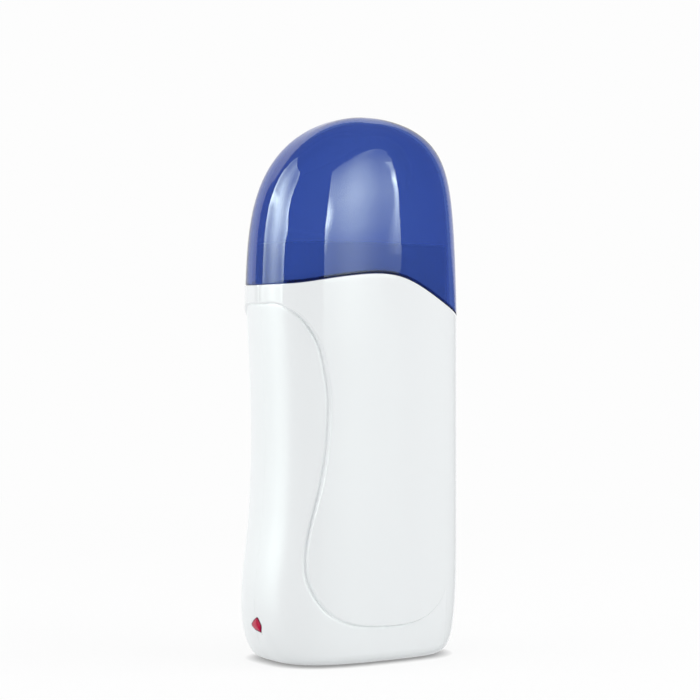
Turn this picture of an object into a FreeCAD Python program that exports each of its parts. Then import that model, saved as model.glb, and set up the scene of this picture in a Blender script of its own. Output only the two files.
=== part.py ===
"""Roll-on wax heater: a free-standing warmer for a wax cartridge, with a lift-off cap.

Frame: +Z up, the front faces -Y, and the narrow side with the lamp faces -X. The origin is
under the middle of the whole heater, on the surface that it stands on. The sections are
drawn about the axis of the cap and the chamber, and each node is then moved along X by
frame_shift, because the foot of the grip and the lamp reach further out than the rest.
"""
import FreeCAD
import Part

import math
import os
import re

import Sketcher
from FreeCAD import Placement, Rotation, Vector

# ---------------------------------------------------------------- driving dimensions (mm)

SIZES = {
    # outer form
    "half_width": 40.0,
    "half_depth": 26.0,
    "full_height": 200.0,
    "section_power": 3.0,
    "base_lift": 0.6,
    "foot_radius": 4.0,
    # grip: hollow of the narrow side, flare of its foot, and the step at its edge
    "waist_in": 2.6,
    "waist_height": 80.0,
    "waist_reach_up": 75.0,
    "waist_reach_down": 60.0,
    "flare_out": 1.7,
    "flare_height": 20.0,
    "flare_reach": 35.0,
    "grip_step": 0.8,
    "grip_top": 134.0,
    "fade_start": 14.0,
    "fade_end": 30.0,
    "fade_left_over": 0.16,
    # rounding of the foot
    "grip_corner_across": 8.5,
    "grip_corner_tall": 20.5,
    "heel_taper": 5.6,
    "heel_tall": 38.6,
    "heel_corner_across": 3.3,
    "heel_corner_tall": 9.5,
    "face_taper": 1.2,
    "face_tall": 25.0,
    "face_corner_across": 3.0,
    "face_corner_tall": 3.5,
    # cap dome
    "dome_start": 125.0,
    "apex_offset": 6.0,
    "dome_draft": 2.3,
    "cap_wall": 2.2,
    "cap_gap": 0.4,
    # shells
    "side_wall": 2.4,
    "face_wall": 2.8,
    "floor_wall": 2.6,
    "rib_root": 1.0,
    "shell_top": 150.0,
    # neck
    "neck_left": 35.4,
    "neck_right": 36.0,
    "neck_deep": 22.9,
    "neck_foot": 118.0,
    "neck_top": 152.0,
    "neck_wall": 1.8,
    "neck_plate": 2.0,
    "neck_round": 0.8,
    "tab_high": 1.4,
    "tab_out": 0.9,
    "tab_half": 5.0,
    "tab_centre": 9.0,
    "tab_rise": 4.0,
    # cartridge chamber
    "chamber_wide": 56.0,
    "chamber_deep": 34.0,
    "chamber_corner": 12.0,
    "chamber_floor": 52.2,
    "liner_wall": 1.4,
    "liner_floor": 1.6,
    # heater stack behind the chamber
    "window_half": 20.0,
    "window_low": 70.0,
    "window_high": 114.0,
    "window_gap": 0.2,
    "flange_extra": 3.0,
    "flange_thick": 0.6,
    "film_half": 14.15,
    "film_low": 76.0,
    "film_high": 116.0,
    "film_thick": 0.15,
    "tablet_half": 12.0,
    "tablet_high": 15.0,
    "tablet_thick": 1.6,
    "tablet_gap": 4.0,
    "strip_half": 13.0,
    "strip_thick": 0.3,
    "lug_centre": 10.0,
    "lug_half": 2.5,
    "lug_low": 69.0,
    "clip_thick": 0.5,
    "clip_half": 16.0,
    "clip_low": 74.0,
    "clip_high": 117.0,
    # cartridge spring in front of the chamber
    "spring_half": 6.0,
    "spring_thick": 0.4,
    "spring_low": 62.0,
    "spring_high": 114.0,
    "spring_end_in": 19.2,
    "spring_mid_in": 15.6,
    "slot_half": 7.0,
    # fuse and terminals
    "fuse_radius": 1.6,
    "fuse_sleeve_radius": 2.1,
    "fuse_low": 50.5,
    "fuse_high": 60.5,
    "fuse_in": 20.6,
    "lead_radius": 0.5,
    "crimp_radius": 1.2,
    "crimp_low": 63.0,
    "wire_radius": 0.9,
    "wire_bend": 4.0,
    # mains inlet
    "inlet_height": 24.0,
    "inlet_half_wide": 10.4,
    "inlet_half_high": 6.4,
    "inlet_face": 25.0,
    "inlet_back": 7.0,
    "inlet_flange": 2.0,
    "inlet_flange_face": 22.6,
    "inlet_flange_back": 21.0,
    "socket_lobe": 4.1,
    "socket_spread": 3.4,
    "socket_depth": 12.0,
    "pin_spread": 4.3,
    "pin_radius": 1.2,
    "pin_short": 1.5,
    # lamp
    "lens_face": 42.4,
    "lens_back": 38.0,
    "lens_flange": 1.0,
    "drop_along": -1.2,
    "drop_height": 14.15,
    "drop_radius": 2.8,
    "tip_along": 3.3,
    "tip_height": 14.15,
    "tip_radius": 0.5,
    "lens_gap": 0.1,
    "bulb_radius": 2.4,
    "bulb_long": 10.0,
    "board_left": 23.6,
    "board_thick": 1.6,
    "board_half": 8.0,
    "board_high": 22.0,
    # screws
    "screw_across": 27.0,
    "screw_height": 38.0,
    "boss_radius": 3.5,
    "boss_face": 1.0,
    "well_radius": 4.4,
    "head_radius": 2.8,
    "head_seat": 4.2,
    "head_tall": 2.0,
    "shank_radius": 1.4,
    "shank_end": 9.0,
    "head_well_radius": 3.2,
    "shank_hole_radius": 1.7,
    # chamber rests
    "rest_half": 1.0,
    "rest_across": 23.0,
    "rest_low": 42.0,
    "rest_inner": 11.0,
}

# Lower edge of the cap, seen from the front: (X, Z) from the grip side to the other side.
SEAM_LINE = [(-46, 136.8), (-36, 137.0), (-27, 138.4), (-16, 140.0), (-4, 140.8), (5, 139.8),
             (13, 136.9), (24, 131.4), (34, 126.9), (46, 122.0)]

# Edge of the grip, seen from the front: across the narrow side under the collar, down the
# face in an S, round under the front panel, and out into the other side.
GRIP_EDGE = [(-45, 130.2), (-39.2, 130.1), (-37.2, 128.2), (-34.1, 124.8), (-31.2, 120.4),
             (-28.5, 115.0), (-26.4, 107.0), (-25.2, 97.0), (-25.2, 88.0), (-26.2, 77.0),
             (-28.4, 65.0), (-31.2, 53.0), (-32.7, 41.0), (-31.6, 31.0), (-27.5, 22.2),
             (-20.5, 16.2), (-12.0, 13.6), (-2.0, 12.9), (8.0, 13.9), (17.5, 17.2),
             (24.5, 23.5), (29.0, 33.0), (34.0, 48.0), (46.0, 60.0)]

# Powers of the dome's outline towards each side: width falls as (1 - t^a)^(1/b).
DOME_LEFT = (4.1, 1.93)
DOME_RIGHT = (7.7, 1.8)
DOME_DEEP = (3.0, 2.0)
DRAFT_POWER = 6

HALF_SECTION_POINTS = 18
LOFT_DEGREE = 3         # higher degrees swing out between unevenly spaced sections
BEYOND = 60.0          # half size of tools that reach past the whole heater
LINE_TOLERANCE = 1e-3
SPLIT_SIDES = {"front": -1, "rear": 1}

doc = FreeCAD.newDocument("WaxHeater")
sheet = doc.addObject("Spreadsheet::Sheet", "Sizes")
for row, (alias, value) in enumerate(SIZES.items(), start=1):
    sheet.set(f"A{row}", alias)
    sheet.set(f"B{row}", str(value))
    sheet.setAlias(f"B{row}", alias)
frame_row = len(SIZES) + 1
sheet.set(f"A{frame_row}", "frame_shift")
sheet.set(f"B{frame_row}", str((SIZES["lens_face"] - SIZES["half_width"]) / 2))
sheet.setAlias(f"B{frame_row}", "frame_shift")
doc.recompute()

ALIASES = set(SIZES) | {"frame_shift"}
nodes = []


def size(alias):
    """Value of one cell of the sheet."""
    return float(sheet.get(alias))


def cells(text):
    """Turn a formula of plain names into one that names the sheet's cells."""
    return re.sub(r"[a-z_]+", lambda m: "Sizes." + m[0] if m[0] in ALIASES else m[0], str(text))


def bind(target, **formulas):
    """Tie properties to formulas; a double underscore stands for the dot of a path."""
    for path, formula in formulas.items():
        target.setExpression(path.replace("__", "."), cells(formula))


def seat(target, x="0", y="0", z="0"):
    bind(target, Placement__Base__x=x, Placement__Base__y=y, Placement__Base__z=z)


def node(target, label):
    """Register a finished piece and move it from the chamber's axis to the heater's frame."""
    target.Label = label
    placed = dict(target.ExpressionEngine).get(".Placement.Base.x")
    placed = placed or dict(target.ExpressionEngine).get("Placement.Base.x")
    shifted = f"{placed} + Sizes.frame_shift" if placed else "Sizes.frame_shift"
    target.setExpression("Placement.Base.x", shifted)
    nodes.append(target)
    return target


# ---------------------------------------------------------------- plain solids and booleans

def block(name, x, y, z):
    """A box between two formulas on each axis."""
    solid = doc.addObject("Part::Box", name)
    bind(solid, Length=f"({x[1]}) - ({x[0]})", Width=f"({y[1]}) - ({y[0]})",
         Height=f"({z[1]}) - ({z[0]})")
    seat(solid, x[0], y[0], z[0])
    return solid


ROD_TURNS = {"x": Rotation(Vector(0, 1, 0), 90), "y": Rotation(Vector(1, 0, 0), -90),
             "z": Rotation()}


def rod(name, along, radius, length, start):
    """A cylinder from a start point towards +X, +Y or +Z."""
    solid = doc.addObject("Part::Cylinder", name)
    solid.Placement = Placement(Vector(), ROD_TURNS[along])
    bind(solid, Radius=radius, Height=length)
    seat(solid, *start)
    return solid


def cut(name, base, tool):
    result = doc.addObject("Part::Cut", name)
    result.Base = base
    result.Tool = tool
    return result


def fuse(name, parts):
    result = doc.addObject("Part::MultiFuse", name)
    result.Shapes = parts
    return result


def common(name, parts):
    result = doc.addObject("Part::MultiCommon", name)
    result.Shapes = parts
    return result


def group(name, parts):
    result = doc.addObject("Part::Compound", name)
    result.Links = parts
    return result


def form(name, shape):
    """A free form whose shape is worked out below from the sheet's values."""
    result = doc.addObject("Part::Feature", name)
    result.Shape = shape
    return result


# ---------------------------------------------------------------- part bodies from sketches

def plane_sketch(body, name, role, offset="0"):
    """A sketch on one of the body's own origin planes, moved along the plane's normal."""
    sketch = body.newObject("Sketcher::SketchObject", name)
    plane = next(f for f in body.Origin.OriginFeatures if f.Role == role)
    sketch.AttachmentSupport = [(plane, "")]
    sketch.MapMode = "FlatFace"
    bind(sketch, AttachmentOffset__Base__z=offset)
    return sketch


def draw_rectangle(sketch, x, y):
    """Four sides between two formulas on each sketch axis."""
    corners = [Vector(-1, -1, 0), Vector(1, -1, 0), Vector(1, 1, 0), Vector(-1, 1, 0)]
    first = sketch.GeometryCount
    for start, end in zip(corners, corners[1:] + corners[:1]):
        sketch.addGeometry(Part.LineSegment(start, end), False)
    for side in range(4):
        following = first + (side + 1) % 4
        sketch.addConstraint(Sketcher.Constraint("Coincident", first + side, 2, following, 1))
    for side, direction in enumerate(("Horizontal", "Vertical", "Horizontal", "Vertical")):
        sketch.addConstraint(Sketcher.Constraint(direction, first + side))
    fixed = (("DistanceX", first, x[0]), ("DistanceY", first, y[0]),
             ("DistanceX", first + 2, x[1]), ("DistanceY", first + 2, y[1]))
    for kind, corner, formula in fixed:
        bind_distance(sketch, kind, corner, 1, formula)


def draw_circle(sketch, x, y, radius):
    index = sketch.addGeometry(Part.Circle(Vector(), Vector(0, 0, 1), 1), False)
    bind_distance(sketch, "DistanceX", index, 3, x)
    bind_distance(sketch, "DistanceY", index, 3, y)
    limit = sketch.addConstraint(Sketcher.Constraint("Radius", index, 1.0))
    sketch.setExpression(f"Constraints[{limit}]", cells(radius))


def bind_distance(sketch, kind, geometry, point, formula):
    """Hold a point's distance from the sketch origin at a formula."""
    limit = sketch.addConstraint(Sketcher.Constraint(kind, -1, 1, geometry, point, 1.0))
    sketch.setExpression(f"Constraints[{limit}]", cells(formula))


def extrude(body, kind, name, sketch, length, reverse=False):
    """A Pad or Pocket of a sketch."""
    feature = body.newObject(f"PartDesign::{kind}", name)
    feature.Profile = sketch
    feature.Reversed = reverse
    bind(feature, Length=length)
    sketch.Visibility = False
    return feature


def new_body(name):
    return doc.addObject("PartDesign::Body", name)


def round_upright_edges(body, name, base, radius, keep):
    """Fillet the body's edges along Z that a test on their middle keeps."""
    doc.recompute()
    names = []
    for number, edge in enumerate(base.Shape.Edges, start=1):
        box = edge.BoundBox
        upright = max(box.XLength, box.YLength) < LINE_TOLERANCE
        if upright and keep(edge.CenterOfMass):
            names.append(f"Edge{number}")
    feature = body.newObject("PartDesign::Fillet", name)
    feature.Base = (base, names)
    bind(feature, Radius=radius)
    return feature


# ---------------------------------------------------------------- outer form

def corner_inset(rise, across, tall):
    """How far a rounded foot of quarter-ellipse section lies in, at a height above it."""
    if rise >= tall:
        return 0.0
    return across * (1 - math.sqrt(1 - (1 - max(rise, 0.0) / tall) ** 2))


def bell(distance, reach):
    """One at the centre, falling smoothly to nothing at the reach."""
    if abs(distance) >= reach:
        return 0.0
    return math.cos(math.pi / 2 * distance / reach) ** 2


def grip_reach(height):
    """Reach of the grip towards -X."""
    above_waist = height - size("waist_height")
    waist_span = size("waist_reach_up") if above_waist > 0 else size("waist_reach_down")
    above_flare = max(height - size("flare_height"), 0.0)
    rise = height - size("base_lift")
    return (size("half_width") - size("waist_in") * bell(above_waist, waist_span)
            + size("flare_out") * bell(above_flare, size("flare_reach"))
            - corner_inset(rise, size("grip_corner_across"), size("grip_corner_tall")))


def heel_reach(height):
    """Reach of the housing towards +X."""
    rise = height - size("base_lift")
    return (size("half_width") - corner_inset(rise, size("heel_taper"), size("heel_tall"))
            - corner_inset(rise, size("heel_corner_across"), size("heel_corner_tall")))


def face_reach(height):
    """Half depth of the housing over the front panel."""
    rise = height - size("base_lift")
    return (size("half_depth") - corner_inset(rise, size("face_taper"), size("face_tall"))
            - corner_inset(rise, size("face_corner_across"), size("face_corner_tall")))


def dome_fall(height, powers, apex):
    """Share of the full reach that the dome keeps at a height."""
    part = (height - size("dome_start")) / (apex - size("dome_start"))
    part = min(max(part, 0.0), 1.0)
    return (1 - part ** powers[0]) ** (1 / powers[1]), part * (1 - part ** DRAFT_POWER)


def dome_section(height, wall=0.0):
    """Left reach, right reach and half depth of the cap; a wall gives its inside."""
    apex = size("full_height") - wall
    offset = size("apex_offset")
    left, draft = dome_fall(height, DOME_LEFT, apex)
    right, _ = dome_fall(height, DOME_RIGHT, apex)
    deep, _ = dome_fall(height, DOME_DEEP, apex)
    half = size("half_width") - wall
    return ((half + offset) * left - size("dome_draft") * draft - offset,
            (half - offset) * right - size("dome_draft") * draft + offset,
            (size("half_depth") - wall) * deep)


def half_curve(sign, left, right, deep, height, step=0.0):
    """Front or rear half of a section, from its +X end to its -X end.

    A step sinks its face, and fades out towards +X.
    """
    power = size("section_power")
    middle = (right - left) / 2
    reach = (right + left) / 2
    points = []
    for index in range(HALF_SECTION_POINTS + 1):
        angle = math.pi * index / HALF_SECTION_POINTS
        across, along = math.cos(angle), math.sin(angle)
        scale = (abs(across) ** power + abs(along) ** power) ** (-1 / power)
        x = middle + reach * across * scale
        sink = step * (1 - fade(x)) + size("fade_left_over") * fade(x) if step else 0.0
        points.append(Vector(x, sign * along * scale * (deep - sink), height))
    curve = Part.BSplineCurve()
    curve.interpolate(points, InitialTangent=Vector(0, sign, 0), FinalTangent=Vector(0, -sign, 0))
    return curve.toShape()


def oval(*measures):
    """Whole closed section."""
    return Part.Wire([half_curve(1, *measures), half_curve(-1, *measures)])


def half_oval(sign, *measures):
    """One half of a section, closed along the split between the shells."""
    left, right, _, height = measures[:4]
    split = Part.makeLine(Vector(-left, 0, height), Vector(right, 0, height))
    return Part.Wire([half_curve(sign, *measures), split])


def fade(x):
    """Nothing at fade_start, growing smoothly to one at fade_end."""
    part = (x - size("fade_start")) / (size("fade_end") - size("fade_start"))
    part = min(max(part, 0.0), 1.0)
    return part * part * (3 - 2 * part)


def stack(sections, tip=None):
    """Solid through a list of sections, closed by a plane or by a point."""
    ends = [Part.Vertex(tip)] if tip else []
    return Part.makeLoft(sections + ends, True, False, False, LOFT_DEGREE)


def through_line(points):
    """Smooth edge through points of the front view."""
    curve = Part.BSplineCurve()
    curve.interpolate([Vector(x, 0, z) for x, z in points])
    return curve.toShape()


def region_above(points, raised=0.0, top=260.0):
    """Prism over the area above a line of the front view, through the whole depth."""
    lifted = [(x, z + raised) for x, z in points]
    low_left, low_right = (Vector(x, 0, z) for x, z in (lifted[0], lifted[-1]))
    high_left, high_right = (Vector(x, 0, top) for x in (low_left.x, low_right.x))
    sides = [Part.makeLine(low_right, high_right), Part.makeLine(high_right, high_left),
             Part.makeLine(high_left, low_left)]
    face = Part.Face(Part.Wire([through_line(lifted)] + sides))
    face.translate(Vector(0, -BEYOND, 0))
    return face.extrude(Vector(0, 2 * BEYOND, 0))


GRIP_HEIGHTS = [0.0, 0.25, 0.7, 1.4, 2.3, 3.5, 5, 7.5, 11, 15, 19, 24, 30, 38, 48, 60, 74, 88,
                104, 120]
PANEL_HEIGHTS = [6, 9, 13, 18, 24, 31, 39, 48, 58, 70, 84, 98, 112, 126, 138]
CAVITY_HEIGHTS = [0.0, 0.4, 1.2, 2.4, 4, 7, 11, 16, 22, 30, 40, 54, 70, 88, 108, 128]
DOME_PARTS = [0, 0.15, 0.32, 0.47, 0.6, 0.71, 0.8, 0.87, 0.92, 0.955, 0.98, 0.993]


def grip_form(sign):
    """Half of the foot and grip: waisted towards -X, sunk by a step that fades towards +X."""
    lift = size("base_lift")
    heights = [lift + rise for rise in GRIP_HEIGHTS] + [size("grip_top")]
    less = size("fade_left_over")
    return stack([half_oval(sign, grip_reach(z), heel_reach(z) - less, face_reach(z), z,
                            size("grip_step")) for z in heights])


def panel_form(sign):
    """Half of the straight upper part and front panel, before the grip's edge trims it."""
    heights = PANEL_HEIGHTS + [size("shell_top")]
    half = size("half_width")
    return stack([half_oval(sign, half, heel_reach(z), face_reach(z), z) for z in heights])


def cavity_form(into_wall=0.0):
    """Space inside the shells, or that space grown into their walls."""
    below = size("floor_wall") - into_wall
    heights = [size("base_lift") + below + rise for rise in CAVITY_HEIGHTS]
    sections = []
    for z in heights + [size("shell_top") + 1]:
        outer = z - below
        sections.append(oval(grip_reach(outer) - size("side_wall") + into_wall,
                             heel_reach(outer) - size("side_wall") + into_wall,
                             face_reach(outer) - size("face_wall") + into_wall, z))
    return stack(sections)


def cap_form(wall=0.0):
    """Dome of the cap, or its inside."""
    start, apex = size("dome_start") - 5, size("full_height") - wall
    span = apex - size("dome_start")
    heights = [start] + [size("dome_start") + span * part for part in DOME_PARTS]
    sections = [oval(*dome_section(z, wall), z) for z in heights]
    return stack(sections, Vector(size("apex_offset"), 0, apex))


# ---------------------------------------------------------------- housing

def drop_wire(x, grow=0.0):
    """Outline of the lamp's lens: a drop lying across the split, its point to the rear."""
    round_middle = Vector(x, size("drop_along"), size("drop_height"))
    tip_middle = Vector(x, size("tip_along"), size("tip_height"))
    large, small = size("drop_radius") + grow, size("tip_radius") + grow
    run = tip_middle - round_middle
    lean = math.degrees(math.acos((large - small) / run.Length))
    heading = Vector(run).normalize()

    def turned(angle):
        return Rotation(Vector(1, 0, 0), angle).multVec(heading)

    big = [round_middle + turned(a) * large for a in (lean, 180, -lean)]
    little = [tip_middle + turned(a) * small for a in (-lean, 0, lean)]
    return Part.Wire([Part.Arc(*big).toShape(), Part.makeLine(big[2], little[0]),
                      Part.Arc(*little).toShape(), Part.makeLine(little[2], big[0])])


def drop_prism(low_x, high_x, grow=0.0):
    return Part.Face(drop_wire(low_x, grow)).extrude(Vector(high_x - low_x, 0, 0))


def build_skin(side, tools):
    """Half of the hollow housing: grip, panel, seam and cavity."""
    sign = SPLIT_SIDES[side]
    panel = common(f"{side}_panel", [form(f"{side}_panel_form", panel_form(sign)),
                                     tools["above_grip_edge"]])
    outside = fuse(f"{side}_outside", [form(f"{side}_grip_form", grip_form(sign)), panel])
    below_seam = cut(f"{side}_below_seam", outside, tools["above_seam"])
    return cut(f"{side}_skin", below_seam, tools["cavity"])


def shell_feet(side):
    """Two low round feet under one shell."""
    along = str(11 * SPLIT_SIDES[side])
    return [rod(f"{side}_{label}_foot", "z", "foot_radius", "base_lift + 1", (across, along, "0"))
            for label, across in (("grip", "-18"), ("heel", "24"))]


def shell_parts(side):
    """Chamber rests and neck slots that a shell has on its side of the split."""
    sign = SPLIT_SIDES[side]
    added, removed = [], []
    for label, across in (("left", "-rest_across"), ("right", "rest_across")):
        span_y = ("-24", "-rest_inner") if sign < 0 else ("rest_inner", "24")
        added.append(block(f"{side}_{label}_rest",
                           (f"{across} - rest_half", f"{across} + rest_half"), span_y,
                           ("rest_low", "chamber_floor - liner_floor")))
        slot_y = (("-neck_deep - tab_out - 0.2", "-neck_deep + 1") if sign < 0
                  else ("neck_deep - 1", "neck_deep + tab_out + 0.2"))
        tab = "-tab_centre" if label == "left" else "tab_centre"
        removed.append(block(f"{side}_{label}_neck_slot",
                             (f"{tab} - tab_half - 0.2", f"{tab} + tab_half + 0.2"), slot_y,
                             ("neck_foot + tab_rise", "neck_foot + tab_rise + tab_high + 0.2")))
    return added, removed


def build_front_shell(tools):
    """Front half: screw bosses, lamp-board ribs and the post that holds the inlet."""
    added, removed = shell_parts("front")
    for label, across in (("left", "-screw_across"), ("right", "screw_across")):
        added.append(rod(f"front_{label}_boss", "y", "boss_radius", "24 - boss_face",
                         (across, "-24", "screw_height")))
        removed.append(rod(f"front_{label}_pilot", "y", "shank_radius", "shank_end + 1",
                           (across, "-shank_end - 1", "screw_height")))
    for label, left in (("outer", "-board_left - 1.2"), ("inner", "-board_left + board_thick")):
        added.append(block(f"board_{label}_rib", (left, f"{left} + 1.2"), ("-24", "-4"),
                           ("2", "10")))
    added.append(block("inlet_post", ("-2", "2"), ("-24", "inlet_back"),
                       ("inlet_height - 7", "inlet_height + 4")))
    added.append(block("inlet_post_foot", ("-2", "2"), ("-24", "-8"), ("2", "inlet_height - 6")))
    for label, low in (("low", "spring_low - 1"), ("high", "spring_high - 4")):
        added.append(block(f"spring_{label}_seat", ("-spring_half", "spring_half"),
                           ("-24", "-spring_end_in - spring_thick"), (low, f"{low} + 5")))
    finish_shell("front", tools, added, removed)


def build_rear_shell(tools):
    """Rear half: screw wells, the inlet's opening and the ribs that press the heater clip."""
    added, removed = shell_parts("rear")
    for label, across in (("left", "-screw_across"), ("right", "screw_across")):
        added.append(rod(f"rear_{label}_tube", "y", "well_radius", "24 + boss_face",
                         (across, "-boss_face", "screw_height")))
        removed.append(rod(f"rear_{label}_well", "y", "head_well_radius", "30",
                           (across, "head_seat", "screw_height")))
        removed.append(rod(f"rear_{label}_shank_hole", "y", "shank_hole_radius", "30",
                           (across, "-boss_face - 1", "screw_height")))
    removed.append(block("inlet_opening", ("-inlet_half_wide - 0.15", "inlet_half_wide + 0.15"),
                         ("inlet_flange_face", "30"),
                         ("inlet_height - inlet_half_high - 0.15",
                          "inlet_height + inlet_half_high + 0.15")))
    removed.append(block("inlet_flange_seat",
                         ("-inlet_half_wide - inlet_flange - 0.2",
                          "inlet_half_wide + inlet_flange + 0.2"),
                         ("inlet_flange_back - 3", "inlet_flange_face + 0.1"),
                         ("inlet_height - inlet_half_high - inlet_flange - 0.2",
                          "inlet_height + inlet_half_high + inlet_flange + 0.2")))
    for label, across in (("left", "-6"), ("right", "6")):
        added.append(block(f"press_{label}_rib", (f"{across} - 0.8", f"{across} + 0.8"),
                           ("clip_back_face", "24"), ("clip_low + 4", "clip_high - 4")))
    finish_shell("rear", tools, added, removed)


def finish_shell(side, tools, added, removed):
    """Add the inner parts of one half, trimmed inside its wall, and open its holes."""
    skin = build_skin(side, tools)
    inside = common(f"{side}_inner_parts", [fuse(f"{side}_added", added), tools["rib_limit"]])
    lamp_hole = form(f"{side}_lamp_hole",
                     drop_prism(-BEYOND, -size("lens_back") + 3, size("lens_gap")))
    flange_seat = form(f"{side}_lamp_seat",
                       drop_prism(-size("lens_back") - 0.1, -30, size("lens_flange") + 0.15))
    opened = fuse(f"{side}_removed", removed + [lamp_hole, flange_seat])
    joined = fuse(f"{side}_joined", [skin, inside] + shell_feet(side))
    node(cut(f"{side}_shell_cut", joined, opened), f"{side}_shell")


def build_cap():
    """Clear lift-off cap: a hollow dome, cut along the seam a little above the housing."""
    above = form("above_cap_edge", region_above(SEAM_LINE, size("cap_gap")))
    dome = common("cap_outside", [form("cap_form", cap_form()), above])
    node(cut("cap_cut", dome, form("cap_inside", cap_form(size("cap_wall")))), "cap")


def build_neck():
    """Collar round the chamber's mouth, held by four tabs between the shells."""
    left, right, deep = size("neck_left"), size("neck_right"), size("neck_deep")
    foot, top, wall = size("neck_foot"), size("neck_top"), size("neck_wall")

    def prism(inset, low, high):
        face = Part.Face(oval(left - inset, right - inset, deep - inset, low))
        return face.extrude(Vector(0, 0, high - low))

    outer = prism(0, foot, top)
    rim = [edge for edge in outer.Edges if edge.BoundBox.ZMin > top - 1e-3]
    hollow = form("neck_hollow", prism(wall, foot - 1, top - size("neck_plate")))
    tabs = []
    for across in ("-tab_centre", "tab_centre"):
        for sign in (-1, 1):
            span = (("-neck_deep - tab_out", "-neck_deep + 1") if sign < 0
                    else ("neck_deep - 1", "neck_deep + tab_out"))
            tabs.append(block("neck_tab", (f"{across} - tab_half", f"{across} + tab_half"), span,
                              ("neck_foot + tab_rise + 0.1",
                               "neck_foot + tab_rise + 0.1 + tab_high")))
    solid = fuse("neck_with_tabs", [form("neck_outer", outer.makeFillet(size("neck_round"), rim))]
                 + tabs)
    tube = cut("neck_tube", solid, hollow)
    node(cut("neck_cut", tube, mouth_tool()), "neck_collar")


def mouth_tool():
    """Rounded box of the chamber's mouth through the neck's plate."""
    tool = block("mouth_block", ("-chamber_wide / 2", "chamber_wide / 2"),
                 ("-chamber_deep / 2", "chamber_deep / 2"), ("neck_top - 8", "neck_top + 8"))
    doc.recompute()
    upright = [number for number, edge in enumerate(tool.Shape.Edges, start=1)
               if edge.BoundBox.ZLength > 1]
    rounded = doc.addObject("Part::Fillet", "mouth_tool")
    rounded.Base = tool
    rounded.Edges = [(number, size("chamber_corner"), size("chamber_corner"))
                     for number in upright]
    return rounded


# ---------------------------------------------------------------- chamber and heater

def build_liner():
    """Cartridge chamber: open at the top, with a window for the heater and one for the spring."""
    body = new_body("liner")
    outline = plane_sketch(body, "liner_outline", "XY_Plane", "chamber_floor - liner_floor")
    draw_rectangle(outline, ("-chamber_wide / 2 - liner_wall", "chamber_wide / 2 + liner_wall"),
                   ("-chamber_deep / 2 - liner_wall", "chamber_deep / 2 + liner_wall"))
    tall = "neck_top - neck_plate - chamber_floor + liner_floor"
    whole = extrude(body, "Pad", "liner_block", outline, tall)
    hollow = plane_sketch(body, "liner_hollow_outline", "XY_Plane", "chamber_floor")
    draw_rectangle(hollow, ("-chamber_wide / 2", "chamber_wide / 2"),
                   ("-chamber_deep / 2", "chamber_deep / 2"))
    pocket = extrude(body, "Pocket", "liner_hollow", hollow, tall, reverse=True)
    check_cut("liner", whole, pocket)
    wall_middle = size("chamber_wide") / 2 + size("liner_wall") / 2
    inner_round = round_upright_edges(body, "liner_inner_round", pocket, "chamber_corner",
                                      lambda middle: abs(middle.x) < wall_middle)
    round_upright_edges(body, "liner_outer_round", inner_round, "chamber_corner + liner_wall",
                        lambda middle: abs(middle.x) > wall_middle)
    windows = (("heater_window", "window_half", "window_low", "window_high", True),
               ("spring_window", "slot_half", "spring_low + 1", "spring_high - 1", False))
    for name, half, low, high, rearward in windows:
        sketch = plane_sketch(body, f"{name}_outline", "XZ_Plane")
        draw_rectangle(sketch, (f"-{half}", half), (low, high))
        extrude(body, "Pocket", name, sketch, "chamber_deep", reverse=not rearward)
    node(body, "chamber_liner")


def check_cut(label, before, after):
    """A pocket that points away from its solid cuts nothing, so compare the volumes."""
    doc.recompute()
    if after.Shape.Volume > 0.9 * before.Shape.Volume:
        raise ValueError(f"{label}: the pocket cuts nothing")


def upright_plate(name, label, outlines, y_low, thick):
    """Flat sheet-metal piece facing Y, as one body of padded rectangles."""
    body = new_body(name)
    for index, (x, z) in enumerate(outlines):
        sketch = plane_sketch(body, f"{name}_outline_{index}", "XZ_Plane", f"-({y_low})")
        draw_rectangle(sketch, x, z)
        extrude(body, "Pad", f"{name}_pad_{index}", sketch, thick, reverse=True)
    return node(body, label) if label else body


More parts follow.
